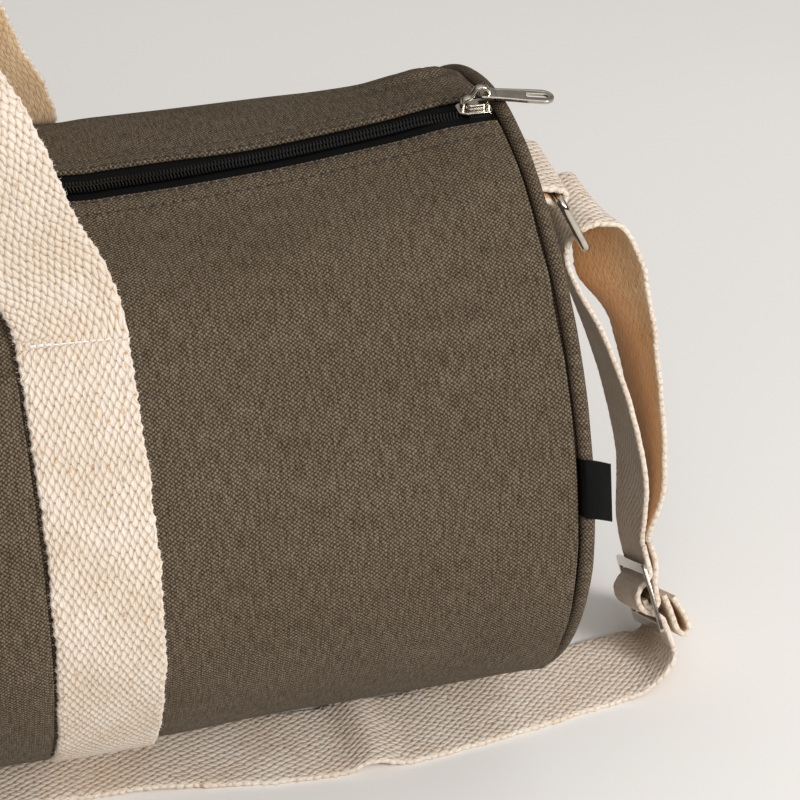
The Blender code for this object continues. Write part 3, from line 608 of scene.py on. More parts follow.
def strip_section():
    """Round a hemmed strip: distance from the zip edge, rise over the cloth and travel over the sheet."""
    radius, nose_start = HEM_THICKNESS / 2, 0.9 * MM
    middle = HEM_LIFT - radius
    near = np.array([11.5, 10.0, 9.2, 8.6, 8.0, 7.0, 4.5, 2.4, 1.8, 1.3, 0.9]) * MM
    outer = np.concatenate([np.linspace(LIP_WIDTH, 13 * MM, 16), near])
    raised = HEM_LIFT * (1 - smooth(outer, 8.5 * MM, 12.5 * MM))
    raised -= 0.45 * MM * peak(outer, HEM_STITCH, 0.7 * MM)
    raised -= 0.35 * MM * peak(outer, EDGE_STITCH, 0.6 * MM)
    turns = np.radians(np.linspace(70, -70, 7))
    nose, nose_rise = nose_start - radius * 0.8 * np.cos(turns), middle + radius * np.sin(turns)
    under = np.array([1.2 * MM, 4 * MM, 8 * MM, HEM - 0.4 * MM, HEM + 0.8 * MM])
    under_rise = [middle - radius] * 4 + [-CANVAS]
    inner = np.linspace(14 * MM, LIP_WIDTH, 12)
    distance = np.concatenate([outer, nose, under, inner])
    rise = np.concatenate([raised, nose_rise, under_rise, np.full(len(inner), -CANVAS)])
    bend = nose_start - np.radians(140) * radius * np.linspace(0.1, 0.9, 7)
    travel = np.concatenate([outer, bend, -under - 1.2 * MM, -inner - 1.2 * MM])
    return distance, rise, np.append(travel, travel[-1])


def strips():
    distance, rise, travel = strip_section()
    xs = along_x(0, SEAM_X, CLOTH_STEP)
    for side, which, half, end in QUARTERS:
        rows = [skin(half * x, lip_angle(distance, side, x), rise) for x in xs]
        uvs = sheet_uvs(half * xs, arc(EDGE_ANGLE) + travel)
        if side * half > 0:
            rows, uvs = rows[::-1], uvs[::-1]
        made = sweep(f"{which}_strip_{end}", rows, uvs, [canvas], caps=(False, False))
        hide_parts(f"{which}_lip")
        opens(made, side)


# Thread
def stitch_line(points, normals, pitch, length, radius):
    """A row of small stitches laid along a line of points, each dipping into the cloth at its ends."""
    travel, sides = lengths(points), 6

    def at(table, place):
        return np.array([np.interp(place, travel, table[:, k]) for k in range(3)])

    turns = 2 * PI * np.arange(sides) / sides
    verts, faces = [], []
    for start in np.arange(pitch / 2, travel[-1] - length, pitch):
        base = len(verts)
        for share in (0, 0.25, 0.5, 0.75, 1):
            centre, out = at(points, start + length * share), at(normals, start + length * share)
            ahead = at(points, start + length * share + pitch / 9) - centre
            out = unit(out)
            beside = np.cross(out, unit(ahead))
            high = np.sin(PI * (0.12 + 0.76 * share))
            centre, thick = centre + out * radius * (1.6 * high - 1.1), radius * (0.5 + 0.5 * high)
            verts += [centre + (beside * np.cos(turn) + out * np.sin(turn)) * thick for turn in turns]
        last = len(verts) - sides
        for ring in range(base, last, sides):
            faces += band_faces(ring, ring + sides, sides)
        faces += [tuple(base + k for k in reversed(range(sides))), tuple(last + k for k in range(sides))]
    return verts, faces


def on_cloth(xs, angle, rise, lift=None):
    """A line of points at a rise over the bag's cloth, and the way out of the cloth at each."""
    line = skin(xs, angle, rise, lift)
    return line, skin(xs, angle, rise + MM, lift) - line


def join(parts):
    """Several (points, faces) as one."""
    verts, faces = [], []
    for points, quads in parts:
        base = len(verts)
        verts += list(points)
        faces += [tuple(q + base for q in quad) for quad in quads]
    return verts, faces


def lip_stitches():
    """Two rows along each strip: one at the edge, one that holds the hem."""
    xs = np.linspace(1 * MM, 242.5 * MM, 90)
    for side, which, half, end in QUARTERS:
        parts = []
        for distance, rise in ((EDGE_STITCH, 0.25 * MM), (HEM_STITCH, 0.0)):
            line, out = on_cloth(half * xs, lip_angle(distance, side, xs), rise)
            parts.append(stitch_line(line, out, *STRIP_STITCHES))
        made = piece(f"{which}_strip_stitches_{end}", *join(parts), [olive_thread_painted_shade])
        opens(made, side)


# Zip: tapes and the nylon coil
TAPE_PLACES_MM = [1.0, 1.6, 2.6, 3.2, 3.8, 5, 6.5, 8, 10, 13, 15.6, 16]
TAPE_RIDGE = 3.8 * MM


def zip_tapes():
    """Flat tapes with a low woven ridge beside the coil, hung under the strips."""
    xs = along_x(0, 247.5 * MM, 4 * MM)
    ys = np.array(TAPE_PLACES_MM) * MM
    front = np.interp(-ys, BODY.point(TURN_TABLE[360:540])[::-1, 0], TURN_TABLE[360:540][::-1])
    ridge = 0.25 * MM * peak(ys, TAPE_RIDGE, 0.5 * MM)
    rise = np.concatenate([ridge - TAPE_DEPTH, np.full(len(ys), -TAPE_DEPTH - TAPE)])
    for side, which, half, end in QUARTERS:
        angles = front if side < 0 else 180 - front
        rows = [skin(half * x, np.concatenate([angles, angles[::-1]]), rise) for x in xs]
        uvs = sheet_uvs(half * xs, np.concatenate([ys, ys[::-1], ys[:1]]))
        if side * half < 0:
            rows, uvs = rows[::-1], uvs[::-1]
        made = sweep(f"zip_tape_{which}_{end}", rows, uvs, [zip_tape], caps=(False, True))
        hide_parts(f"zip_tape_{which}")
        opens(made, side)


# One turn of the coil's wire, across the zip and upward, in millimetres
COIL_TURN_MM = [
    (-2.9, 0.45), (-3.15, 1.0), (-2.7, 1.7), (-1.5, 1.95),
    (-0.3, 1.8), (0.45, 1.25), (0.0, 0.75), (-1.5, 0.4),
]
COIL_WIRE = 0.36 * MM
COIL_DRIFT = 0.18 * MM
COIL_END = {1: 241.5 * MM, -1: 243.5 * MM}
# The chain runs a little lower where the slider stands, at the right closed and at the left open
COIL_DIP = 2.0 * MM
COIL_DIP_FROM = (214 * MM, 236 * MM)


def coil_turn(side):
    """Points and faces of one turn of the coil on the front (-1) or back (1) tape."""
    outline, sides = np.array(COIL_TURN_MM) * MM, 6
    count, turns = len(outline), 2 * PI * np.arange(sides) / sides
    verts, faces = [], []
    for i, (y, z) in enumerate(outline):
        ahead = unit(outline[(i + 1) % count] - outline[i - 1])
        drift = COIL_DRIFT * np.cos(2 * PI * i / count)
        across, up = y + ahead[1] * COIL_WIRE * np.cos(turns), z - ahead[0] * COIL_WIRE * np.cos(turns)
        verts.append(np.stack([drift + COIL_WIRE * np.sin(turns), -side * across, up], -1))
        quads = band_faces(i * sides, (i + 1) % count * sides, sides)
        faces += quads if side < 0 else [quad[::-1] for quad in quads]
    return np.vstack(verts), faces


def zip_coil():
    """Turns of both halves lie between each other."""
    for side, which, half, end in QUARTERS:
        points, faces = coil_turn(side)
        first = COIL_PITCH / 4 + (0 if side < 0 else COIL_PITCH / 2)
        turns = []
        for x in np.arange(first, COIL_END[half], COIL_PITCH):
            z = skin(half * x, 90.0, -TAPE_DEPTH)[2] - COIL_DIP * smooth(x, *COIL_DIP_FROM)
            turns.append((points + [half * x, 0, z], faces))
        made = piece(f"zip_coil_{which}_{end}", *join(turns), [coil_nylon])
        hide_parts(f"zip_teeth_{which}")
        opens(made, side)


# Round ends
END_SHARES = [0.0, 0.06, 0.12, 0.2, 0.3, 0.4, 0.5, 0.6, 0.68, 0.76, 0.83, 0.89, 0.93, 0.96, 0.98, 1.0]


def end_cloth():
    """Stuffed discs with soft swells and small pleats beside the seam."""
    angles = np.linspace(0, 360, 145)[:-1]
    middle, edge, count = np.array([0, RIM.centre]), RIM.point(angles, SEAM_OFFSET), len(angles)
    for side, which in ENDS:
        points, uvs, faces, corners = [], [], [], []
        for layer in (0, 1):
            for share in END_SHARES:
                flat = middle + (edge - middle) * share
                bulge = END_BULGE * (1 - share**2.5)
                turned = flat[:, 1] * 4000 + side * 90
                soft = 1.6 * ripple(flat[:, 0], turned, 60 * MM, 12, 4) * (1 - share**6)
                pleat = 0.9 * ripple(side * 0.3, angles, 0.1, 52, 5) * share**5
                uneven = soft - 1.2 * (1 - share**4) + pleat * (1 - smooth(share, 0.94, 1.0))
                x = BAG_HALF_LENGTH + GAP / 2 + CANVAS * (1 - layer) + bulge + uneven * MM
                points.append(stand(side * x, flat))
                uvs.append(flat)
            for i in range(layer * len(END_SHARES), (layer + 1) * len(END_SHARES) - 1):
                for j in range(count):
                    n, a, b = (j + 1) % count, i * count, (i + 1) * count
                    quad = (a + j, b + j, b + n, a + n)
                    quad = quad if (side > 0) == (layer == 0) else quad[::-1]
                    faces.append(quad)
                    corners += [uvs[q // count][q % count] for q in quad]
        made = piece(f"end_cloth_{which}", np.vstack(points), faces, [canvas], corners)
        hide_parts(f"end_panel_{which}")
        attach(made, "bag")


def ring_tube(name, centres, across, up, radii, look, sides=16):
    """A round tube along a ring of points, with its own frame at every point."""
    turns = np.linspace(0, 2 * PI, sides, endpoint=False)
    radii = np.broadcast_to(radii, (len(centres), sides))
    rows = [
        c + np.outer(np.cos(turns) * r, a) + np.outer(np.sin(turns) * r, u)
        for c, a, u, r in zip(centres, across, up, radii)
    ]
    travel = lengths(np.vstack([centres, centres[:1]]))
    uvs = sheet_uvs(travel, np.linspace(0, 2 * PI * np.mean(radii), sides + 1))
    return sweep(name, rows, uvs, [look], closed=True)


def piping():
    """Canvas over a cord, round each end."""
    angles = np.linspace(0, 360, 361)[:-1]
    turns = np.linspace(0, 2 * PI, 16, endpoint=False)
    flat = RIM.point(angles)
    out = unit(RIM.point(angles, MM) - flat)
    for side, which in ENDS:
        across = np.tile([side, 0.0, 0.0], (len(angles), 1))
        uneven = ripple(side * 0.4, angles[:, None], 0.1, 60, 6) * 0.12
        uneven = uneven + ripple(turns[None, :] * 0.05, angles[:, None], 0.1, 64, 7) * 0.1
        centres, radii = stand(side * BAG_HALF_LENGTH, flat), PIPING_RADIUS + uneven * MM
        made = ring_tube(f"piping_{which}_cloth", centres, across, stand(0, out), radii, canvas)
        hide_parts(f"piping_{which}")
        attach(made, "bag")


# Section of the seam binding in millimetres: depth below the seam, distance inward from the end
BINDING_DEPTH_MM = [0, 0.0, 2.2, 4.5, 6.8, 9.0, 9.4, 9.0, 6.8, 4.5, 2.2, 0.0]
BINDING_IN_MM = [1.2, 0.1, 0.0, 0.15, 0.0, 0.3, 1.2, 2.1, 2.4, 2.25, 2.4, 2.3]


def seam_bindings():
    """Tape sewn over the raw edges inside each end seam."""
    angles = np.linspace(0, 360, 181)[:-1]
    depth, inward = np.array(BINDING_DEPTH_MM) * MM, np.array(BINDING_IN_MM) * MM
    round_section = 1.9 * MM * np.arange(1, len(depth) + 2)
    for side, which in ENDS:
        rows = []
        for a in angles:
            wave = 0.3 * MM * ripple(side * 0.2, a, 0.1, 40, 3) * (depth > 0)
            flat = RIM.point(np.full(len(depth), a), SEAM_OFFSET - CANVAS - GAP - depth)
            x = side * (BAG_HALF_LENGTH - GAP / 2 - inward) + wave
            rows.append(stand(x, flat))
        uvs = sheet_uvs(arc(np.append(angles, 360)), round_section)
        made = sweep(f"seam_binding_{which}_tape", rows, uvs, [seam_tape], closed=True)
        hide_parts(f"seam_binding_{which}")
        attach(made, "bag")


# Webbing
def webbing_outline():
    """Half width and height of a flat woven band's outline, rounded at both edges, as fractions."""
    face = list(zip(np.linspace(-0.955, 0.955, 15), np.ones(15)))
    right = [(0.985, 0.72), (1.0, 0.0), (0.985, -0.72)]
    back = [(u, -h) for u, h in face[::-1]]
    left = [(-u, -h) for u, h in right]
    return np.array(face + right + back + left).T


WIDTH_SHARE, HEIGHT_SHARE = webbing_outline()
# Which material each column of the outline takes: face, edge, back, edge
OUTLINE_LOOKS = [0] * 14 + [2] * 4 + [1] * 14 + [2] * 4
RIGHT_EDGE, LEFT_EDGE = 16, 34
WEFT_LOOP = 3.9 * MM


def webbing_rows(travel):
    """(across, height) of the band's outline at each length, with the small waves of its woven edge."""
    travel = np.asarray(travel, float)[:, None]

    def wander(phase, *swells):
        loops = 0.35 * np.sin(2 * PI * travel / WEFT_LOOP + phase)
        return loops + 0.5 * sum(ripple(travel, angle, cell * MM, 8, layer) for angle, cell, layer in swells)

    right = wander(0, (0.0, 11, 4), (30.0, 2.1, 2))
    left = wander(PI, (90.0, 13, 5), (120.0, 2.3, 3))
    shift = np.where(WIDTH_SHARE > 0, right, -left) * MM * (np.abs(WIDTH_SHARE) > 0.9) * 0.85
    across = WIDTH_SHARE * (WEBBING_WIDTH / 2 - 0.5 * MM) + shift
    height = HEIGHT_SHARE * WEBBING / 2 + 0.12 * MM * ripple(travel, WIDTH_SHARE * 90, 12 * MM, 16, 6)
    return across, np.broadcast_to(height, across.shape)


def webbing_piece(name, rows, travel):
    across = (np.append(WIDTH_SHARE, WIDTH_SHARE[0]) + 1) * WEBBING_WIDTH / 2
    uvs = [np.stack([across, np.full(len(across), t)], -1) for t in travel]
    return sweep(name, rows, uvs, [webbing_face, webbing_back_painted_shade, webbing_edge], OUTLINE_LOOKS)


def edge_fibres(name, rows, seed):
    """Short loose fibres along both woven edges of a band, rooted inside it."""
    rows, dice = np.asarray(rows), np.random.default_rng(seed)
    turns = np.radians([0, 120, 240])
    faces = [*band_faces(0, 3, 3), *band_faces(3, 6, 3), (2, 1, 0), (6, 7, 8)]
    fibres = []
    for edge, other in ((RIGHT_EDGE, LEFT_EDGE), (LEFT_EDGE, RIGHT_EDGE)):
        root = rows[:-1, edge]
        out = unit(root - rows[:-1, other])
        ahead = rows[1:, edge] - root
        ahead = unit(ahead - out * np.sum(ahead * out, axis=1, keepdims=True))
        normal = np.cross(out, ahead)
        long = dice.uniform(0.2, 1.0, (len(root), 1)) ** 2 * 1.5 * MM
        lean, rise = dice.uniform(-1, 1, (len(root), 1)), dice.uniform(-0.6, 0.6, (len(root), 1))
        path = (
            (root - out * 0.4 * MM, 0.07 * MM),
            (root + (out * 0.6 + ahead * lean * 0.5 + normal * rise * 0.3) * long, 0.055 * MM),
            (root + (out * 0.8 + ahead * lean * 1.3 + normal * rise) * long, 0.03 * MM),
        )
        rings = [[c + (ahead * np.cos(t) + normal * np.sin(t)) * thick for t in turns] for c, thick in path]
        fibres += [(points, faces) for points in np.array(rings).transpose(2, 0, 1, 3).reshape(-1, 9, 3)]
    made = piece(name, *join(fibres), [cotton_fibre])
    return made


def laid_rows(middle, angles, travel, flip=1):
    """Rows of a band lying on the bag's cloth."""
    rows = []
    for a, u, h in zip(angles, *webbing_rows(travel)):
        x = middle + flip * u
        rows.append(skin(x, np.full(len(u), a), GAP + WEBBING / 2 + h, swell(x, a)))
    return rows


def ribbon_rows(centres, widths, travel):
    """Rows of a band along a free line."""
    ahead = unit(np.gradient(centres, axis=0))
    beside = unit(widths - ahead * np.sum(widths * ahead, axis=1, keepdims=True))
    out = np.cross(beside, ahead)
    across, height = webbing_rows(travel)
    return centres[:, None] + across[..., None] * beside[:, None] + height[..., None] * out[:, None]


def smooth_line(points, step):
    """A curve through the points, sampled about every step."""
    points = np.asarray(points, float)
    ends = [2 * points[0] - points[1], *points, 2 * points[-1] - points[-2]]
    line = [points[0]]
    for a, b, c, d in zip(ends, ends[1:], ends[2:], ends[3:]):
        chord = [max(np.linalg.norm((q - p)[:3]), GAP) ** 0.5 for p, q in ((a, b), (b, c), (c, d))]
        t0, t1, t2, t3 = np.cumsum([0, *chord])
        for t in np.linspace(t1, t2, max(2, int(np.ceil(chord[1] ** 2 / step)) + 1))[1:]:
            ab = a + (b - a) * (t - t0) / (t1 - t0)
            bc = b + (c - b) * (t - t1) / (t2 - t1)
            cd = c + (d - c) * (t - t2) / (t3 - t2)
            abc = ab + (bc - ab) * (t - t0) / (t2 - t0)
            bcd = bc + (cd - bc) * (t - t1) / (t3 - t1)
            line.append(abc + (bcd - abc) * (t - t1) / (t2 - t1))
    return np.array(line)


BAND_END_ANGLE = 127.0


def body_bands():
    """The two bands sewn round the bag, up to just below the cross stitch."""
    angles = np.arange(BAND_END_ANGLE, 540 - BAND_END_ANGLE + 0.01, 0.5)
    travel = arc(STITCH_ANGLE) - arc(angles)
    for side, which in ENDS:
        rows = laid_rows(side * HANDLE_LEG_X, angles, travel)
        made = webbing_piece(f"body_band_{which}", rows, travel)
        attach(edge_fibres(f"body_band_{which}_fibres", rows, 3), "bag")
        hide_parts(f"handle_webbing_{which}")
        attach(made, "bag")


# Middle line of the front handle's right half, from above the stitches to its top
HANDLE_LINE_MM = [
    (68.5, -67.5, 239.5), (60.5, -64.0, 257.0), (50.5, -60.0, 286.0), (37.5, -56.0, 322.0),
    (22.5, -52.5, 352.0), (9.5, -50.5, 371.0), (0.0, -50.0, 376.0),
]
HANDLE_TURN_START_SHARE = 0.3
FREE_START = 1.5 * MM
HANDLE_TAIL_POINTS = 14
HANDLE_TAIL_RISE = 0.5 * MM
SEWN_ANGLES = np.array([BAND_END_ANGLE, STITCH_ANGLE - 0.65])
SEWN_TRAVEL = arc(STITCH_ANGLE) - arc(SEWN_ANGLES)


def handle_line(sewn_at):
    """Centres and width directions of the front handle's free part; it turns on edge towards its top."""
    fullness = swell(HANDLE_LEG_X, np.array(sewn_at[-1]))
    base = skin(HANDLE_LEG_X, STITCH_ANGLE - 0.8, GAP + WEBBING / 2, fullness)
    leaving = skin(HANDLE_LEG_X, STITCH_ANGLE - 3.0, GAP * 4 + WEBBING / 2, np.array(0.0))
    half = smooth_line([base, leaving, *(np.array(HANDLE_LINE_MM) * MM)], 1.3 * MM)
    travel = lengths(half)[:, None]
    turn = smooth(travel / travel[-1], HANDLE_TURN_START_SHARE, 1) * PI / 2
    ahead = unit(np.gradient(half, axis=0))
    level = unit(np.array([1.0, 0, 0]) - ahead * ahead[:, :1])
    widths = np.cos(turn) * level + np.sin(turn) * np.cross(ahead, level)
    return (np.vstack([part, part[-2::-1] * [-1, 1, 1]]) for part in (half, widths))


def handle_stitches(facing, which):
    """One row of white stitches across each leg, with a tail of thread."""
    us = np.linspace(-WEBBING_WIDTH / 2 + 4 * MM, WEBBING_WIDTH / 2 - 4 * MM, 40)
    angle = (STITCH_ANGLE - 0.9) if facing > 0 else 180 - STITCH_ANGLE + 0.9
    slant = angle + facing * us / WEBBING_WIDTH * 0.5
    parts = []
    for side in (1, -1):
        xs = side * HANDLE_LEG_X + us
        line, out = on_cloth(xs, slant, GAP + WEBBING + 0.3 * MM, swell(xs, slant))
        tail = line[:HANDLE_TAIL_POINTS] + [0, 0, HANDLE_TAIL_RISE]
        parts.append(stitch_line(line, out, *HANDLE_STITCHES))
        parts.append(stitch_line(tail, out[:HANDLE_TAIL_POINTS], *HANDLE_TAIL_STITCHES))
    thread = piece(f"handle_stitches_{which}", *join(parts), [white_thread])
    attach(thread, "bag")


def handles():
    """The free handles, with the last of the sewn band below the cross stitch, where they bend."""
    root = BODY.point(STITCH_ANGLE, GAP + WEBBING)
    above = (BODY.point(STITCH_ANGLE - 4.0, GAP + WEBBING) - root) * 1.6
    pivot = root + above * 0.2
    for facing, which in ((1, "front"), (-1, "back")):
        sewn_at = SEWN_ANGLES if facing > 0 else 180 - SEWN_ANGLES
        line, widths = (part * [1, facing, 1] for part in handle_line(sewn_at))
        free = lengths(line) + SEWN_TRAVEL[-1] + FREE_START
        back = free[-1] + SEWN_TRAVEL[-1] - SEWN_TRAVEL[::-1]
        right = laid_rows(HANDLE_LEG_X, sewn_at, SEWN_TRAVEL, facing)
        left = laid_rows(-HANDLE_LEG_X, sewn_at[::-1], back, -facing)
        rows = [*right, *ribbon_rows(line, widths * facing, free), *left]
        travel = np.concatenate([SEWN_TRAVEL, free, back + FREE_START])
        made = webbing_piece(f"carry_handle_{which}", rows, travel)
        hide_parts(f"handle_{which}")
        start = (0, pivot[0] * facing, pivot[1])
        end = (0, (pivot[0] + above[0]) * facing, pivot[1] + above[1])
        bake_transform(made)
        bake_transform(edge_fibres(f"carry_handle_{which}_fibres", rows, 5))
        handle_stitches(facing, which)


# Front pocket
POCKET_HALF_WIDTH = 51.2 * MM
POCKET_TOP = arc(130.6)
POCKET_REACH = arc(222.0) - POCKET_TOP
POCKET_FULLNESS = 2.8 * MM
POCKET_STITCH = 8 * MM
POCKET_HEM_MM = [0.0, 0.6, 2, 5, 7.2, 8, 8.8, 10.5]


def pocket_fullness(x):
    return POCKET_FULLNESS * (1 - (x / POCKET_HALF_WIDTH) ** 12)


def pocket():
    """A panel between the two bands; its open top has a stitched hem and stands off a little."""
    xs = np.linspace(-POCKET_HALF_WIDTH, POCKET_HALF_WIDTH, 41)
    outer = np.concatenate([np.array(POCKET_HEM_MM) * MM, np.linspace(14 * MM, POCKET_REACH, 44)])
    hem = 1.3 * MM * (1 - smooth(outer, 8.5 * MM, 10.5 * MM))
    hem -= 0.3 * MM * peak(outer, POCKET_STITCH, 0.7 * MM)
    hem[0] = 0.1 * MM
    angles = angle_at(POCKET_TOP + outer)
    rows = []
    for x in xs:
        full = pocket_fullness(x) * np.cos(outer / POCKET_REACH * PI / 2)
        lift = swell(x, angles)
        face = skin(x, angles, GAP + CANVAS + full + hem, lift)
        rows.append(np.vstack([face, skin(x, angles[::-1], (GAP + full)[::-1], lift[::-1])]))
    v = POCKET_TOP + np.concatenate([outer, outer[::-1], outer[:1]]) + 0.3 * MM
    made = sweep("front_pocket_cloth", rows, sheet_uvs(xs + 0.4 * MM, v), [canvas])
    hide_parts("front_pocket")
    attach(made, "bag")
    xs = np.linspace(2 * MM - POCKET_HALF_WIDTH, POCKET_HALF_WIDTH - 2 * MM, 60)
    angle = angle_at(POCKET_TOP + POCKET_STITCH)
    line, out = on_cloth(xs, angle, GAP + CANVAS + pocket_fullness(xs) + 0.35 * MM, swell(xs, angle))
    stitches = stitch_line(line, out, *POCKET_STITCHES)
    thread = piece("front_pocket_stitches", *stitches, [olive_thread_painted_shade])
    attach(thread, "bag")


# Side label
LABEL_LOW_ANGLE, LABEL_HIGH_ANGLE = 158.6, 168.8
LABEL_THICKNESS = 1.0 * MM
LABEL_DROOP = 1.5
LABEL_CURL = 0.5 * MM
# Its path over the piping: piping radii past the middle of it, and millimetres over its top
LABEL_PATH = [(-0.75, -0.1), (0, 0.3), (0.8, 0.27), (1.6, 0), (2.9, -0.9)]
LABEL_FOLD_MM = [(0.45, -0.25), (0.45, -0.75)]


def side_label():
    """A folded black tape, bare, sewn into the right end seam and hung over the piping."""
    over = PIPING_RADIUS + GAP + LABEL_THICKNESS
    path = [(GROOVE_X - GAP, GAP + LABEL_THICKNESS / 2)]
    path += [(BAG_HALF_LENGTH + PIPING_RADIUS * out, over + rise * MM) for out, rise in LABEL_PATH]
    line = smooth_line(path, 0.7 * MM)
    lean = np.linspace(0, 1, len(line)) ** 2
    droop = LABEL_DROOP * np.concatenate([lean, [1, 1], lean[::-1]])
    rows, uvs = [], []
    for angle, share in zip(np.linspace(LABEL_LOW_ANGLE, LABEL_HIGH_ANGLE, 12), np.linspace(-1, 1, 12)):
        curl = LABEL_CURL * share**2
        top = line + np.outer(lean, [0, curl])
        nose = line[-1] + np.array(LABEL_FOLD_MM) * MM + [0, curl]
        xs, rise = np.vstack([top, nose, top[::-1] - [0, LABEL_THICKNESS]]).T
        rows.append(stand(xs, RIM.point(angle + droop, rise)))
        uvs.append(np.stack([np.append(xs, xs[0]), np.full(len(xs) + 1, arc(angle))], -1))
    made = sweep("side_label_tape", rows, uvs, [label_tape])
    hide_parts("side_label")
    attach(made, "bag")


# Shoulder strap. Places along and up of the ring's two bars, at the right end
RING_WIRE = 1.75 * MM
RING_INSIDE = 41.4 * MM
RING_TOP = (270.2 * MM, 219.0 * MM)
RING_FOOT = (282.6 * MM, 195.5 * MM)
TAB_WIDTH = 38 * MM
ADJUSTER_CENTRE = np.array([314.0, -43.6, 28.2]) * MM
ADJUSTER_DOWN = Vector((0.151, -0.582, -0.799)).normalized()
ADJUSTER_ACROSS = Vector((0.074, 0.893, -0.444))
ADJUSTER_ACROSS = (ADJUSTER_ACROSS - ADJUSTER_DOWN * ADJUSTER_ACROSS.dot(ADJUSTER_DOWN)).normalized()
ADJUSTER_OUT = ADJUSTER_DOWN.cross(ADJUSTER_ACROSS)
# Front edges of the two hanging layers and of the turn through the ring
INNER_LAYER_MM = [
    (276.2, -20.0, 189.0), (281.2, -21.0, 176.4), (291.4, -24.0, 157.2),
    (303.1, -33.0, 126.4), (310.2, -43.0, 93.0),
]
RING_TURN_MM = [(275.6, -20.0, 195.8), (278.4, -20.0, 201.4), (283.6, -20.0, 204.2), (289.2, -20.0, 204.4)]
OUTER_LAYER_MM = [
    (297.4, -20.0, 200.2), (306.6, -21.0, 185.7), (312.4, -23.0, 167.9),
    (316.4, -26.5, 144.6), (319.5, -42.0, 88.0),
]
LEFT_RETURN_MM = [(292.0, -20.0, 197.0), (290.2, -20.6, 184.0), (289.4, -21.6, 172.5), (293.0, -23.4, 162.0)]
# Past the adjuster's bars: distance down from its centre, and out of its plane
PASSING_WEAVE_MM = [
    (-27, 3.6), (-13, 2.9), (-10.2, 2.7), (-7.4, 0.2), (-5.2, -3.2), (-2.4, -5.3),
    (2.4, -5.3), (5.2, -3.2), (7.4, 0.2), (10.2, 2.7), (13, 2.9), (16.4, 3.2),
]
SEWN_WEAVE_MM = [
    (-27, 6.9), (-13, 6.0), (-6.0, 3.6), (0.0, 2.6), (2.8, 2.4), (4.2, 0.0), (2.8, -2.4), (0.0, -2.6),
]
END_FOLD_MM = [
    (0.5, 5.6), (5, 6.4), (11, 6.9), (16.5, 7.6), (19, 9.6), (17.5, 12.0), (12, 12.2), (6, 10.6), (2.5, 9.4),
]
# Down to the floor at the right and up from it at the left: centre, then width direction
STRAP_TURN_MM = [
    (320.5, -54.5, 11.8, 0.06, 0.90, -0.40), (316.5, -57.0, 7.0, 0.03, 0.95, -0.25),
    (306.0, -58.5, 3.0, 0.00, 1.00, -0.05),
]
LEFT_RISE_MM = [(319.6, -50.0, 20.0, 0.07, 0.89, -0.44), (317.0, -44.0, 34.0, 0.07, 0.89, -0.44)]
FLOOR_RUN_MM = [(290, -60), (262, -64), (228, -69), (190, -72), (150, -70), (110, -64), (60, -58), (0, -54)]
STRAP_TWIST = 0.6
TWIST_HEIGHT = 172 * MM
TWIST_REACH = 26 * MM
# Creases of the strap on the floor: place along the bag, reach and height, in millimetres
CREASES_MM = [(184, 9, 4.0), (100, 18, 1.6)]


def strap_line():
    """Centre and width direction all along the strap, from the adjuster's centre bar to the left ring."""
    across_top, across_low = np.array([0.0, 1.0, 0.0]), np.array(ADJUSTER_ACROSS)

    def woven(pairs):
        return [np.array([*by_adjuster(down, out), *across_low]) for down, out in pairs]

    def layer(edges, twist=0.0):
        made = []
        for x, y, z in np.array(edges) * MM:
            low_share = np.clip((RING_FOOT[1] - z) / (RING_FOOT[1] - ADJUSTER_CENTRE[2]), 0, 1)
            across = across_top + (across_low - across_top) * low_share
            across = unit(across - [twist * peak(z, TWIST_HEIGHT, TWIST_REACH), 0, 0])
            made.append(np.array([*(np.array([x, y, z]) + across * WEBBING_WIDTH / 2), *across]))
        return made

    def placed(rows):
        return [np.array([x * MM, y * MM, z * MM, *across]) for x, y, z, *across in rows]

    mirror = np.array([-1, 1, 1, -1, 1, 1])
    right = woven(SEWN_WEAVE_MM[::-1]) + layer(OUTER_LAYER_MM[::-1], STRAP_TWIST) + layer(RING_TURN_MM[::-1])
    right += layer(INNER_LAYER_MM) + woven(PASSING_WEAVE_MM) + placed(STRAP_TURN_MM)
    floor = [np.array([x * MM, y * MM, WEBBING / 2, *across_top]) for x, y in FLOOR_RUN_MM]
    left = floor[-2::-1] + placed(STRAP_TURN_MM[::-1]) + placed(LEFT_RISE_MM)
    left += layer(INNER_LAYER_MM[::-1]) + layer(RING_TURN_MM) + layer(LEFT_RETURN_MM)
    return smooth_line(right + floor + [p * mirror for p in left], 1.6 * MM)


def by_adjuster(down, out):
    """A point at distances in millimetres from the adjuster's centre, along its length and out of it."""
    return ADJUSTER_CENTRE + (np.array(ADJUSTER_DOWN) * down + np.array(ADJUSTER_OUT) * out) * MM


def shoulder_strap():
    """The long strap in one piece, and its end folded over at the adjuster."""
    line = strap_line()
    on_floor = line[:, 2] < WEBBING
    creases = sum(rise * peak(line[:, 0], x * MM, reach * MM) for x, reach, rise in CREASES_MM)
    line[:, 2] += creases * MM * on_floor
    travel = lengths(line)
    rows = ribbon_rows(line[:, :3], line[:, 3:], travel)
    made = webbing_piece("shoulder_strap_band", rows, travel)
    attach(edge_fibres("shoulder_strap_fibres", rows, 9), "shoulder_strap")
    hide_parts("strap_webbing")
    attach(made, "shoulder_strap")
    line = smooth_line([by_adjuster(down, out) for down, out in END_FOLD_MM], 1.0 * MM)
    widths, travel = np.tile(np.array(ADJUSTER_ACROSS), (len(line), 1)), lengths(line)
    made = webbing_piece("strap_folded_end", ribbon_rows(line, widths, travel), travel)
    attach(made, "shoulder_strap")


TAB_TURN = (70, 30, -10, -55, -100, -140)
TAB_ROOT_SHIFT = 5.0 * MM


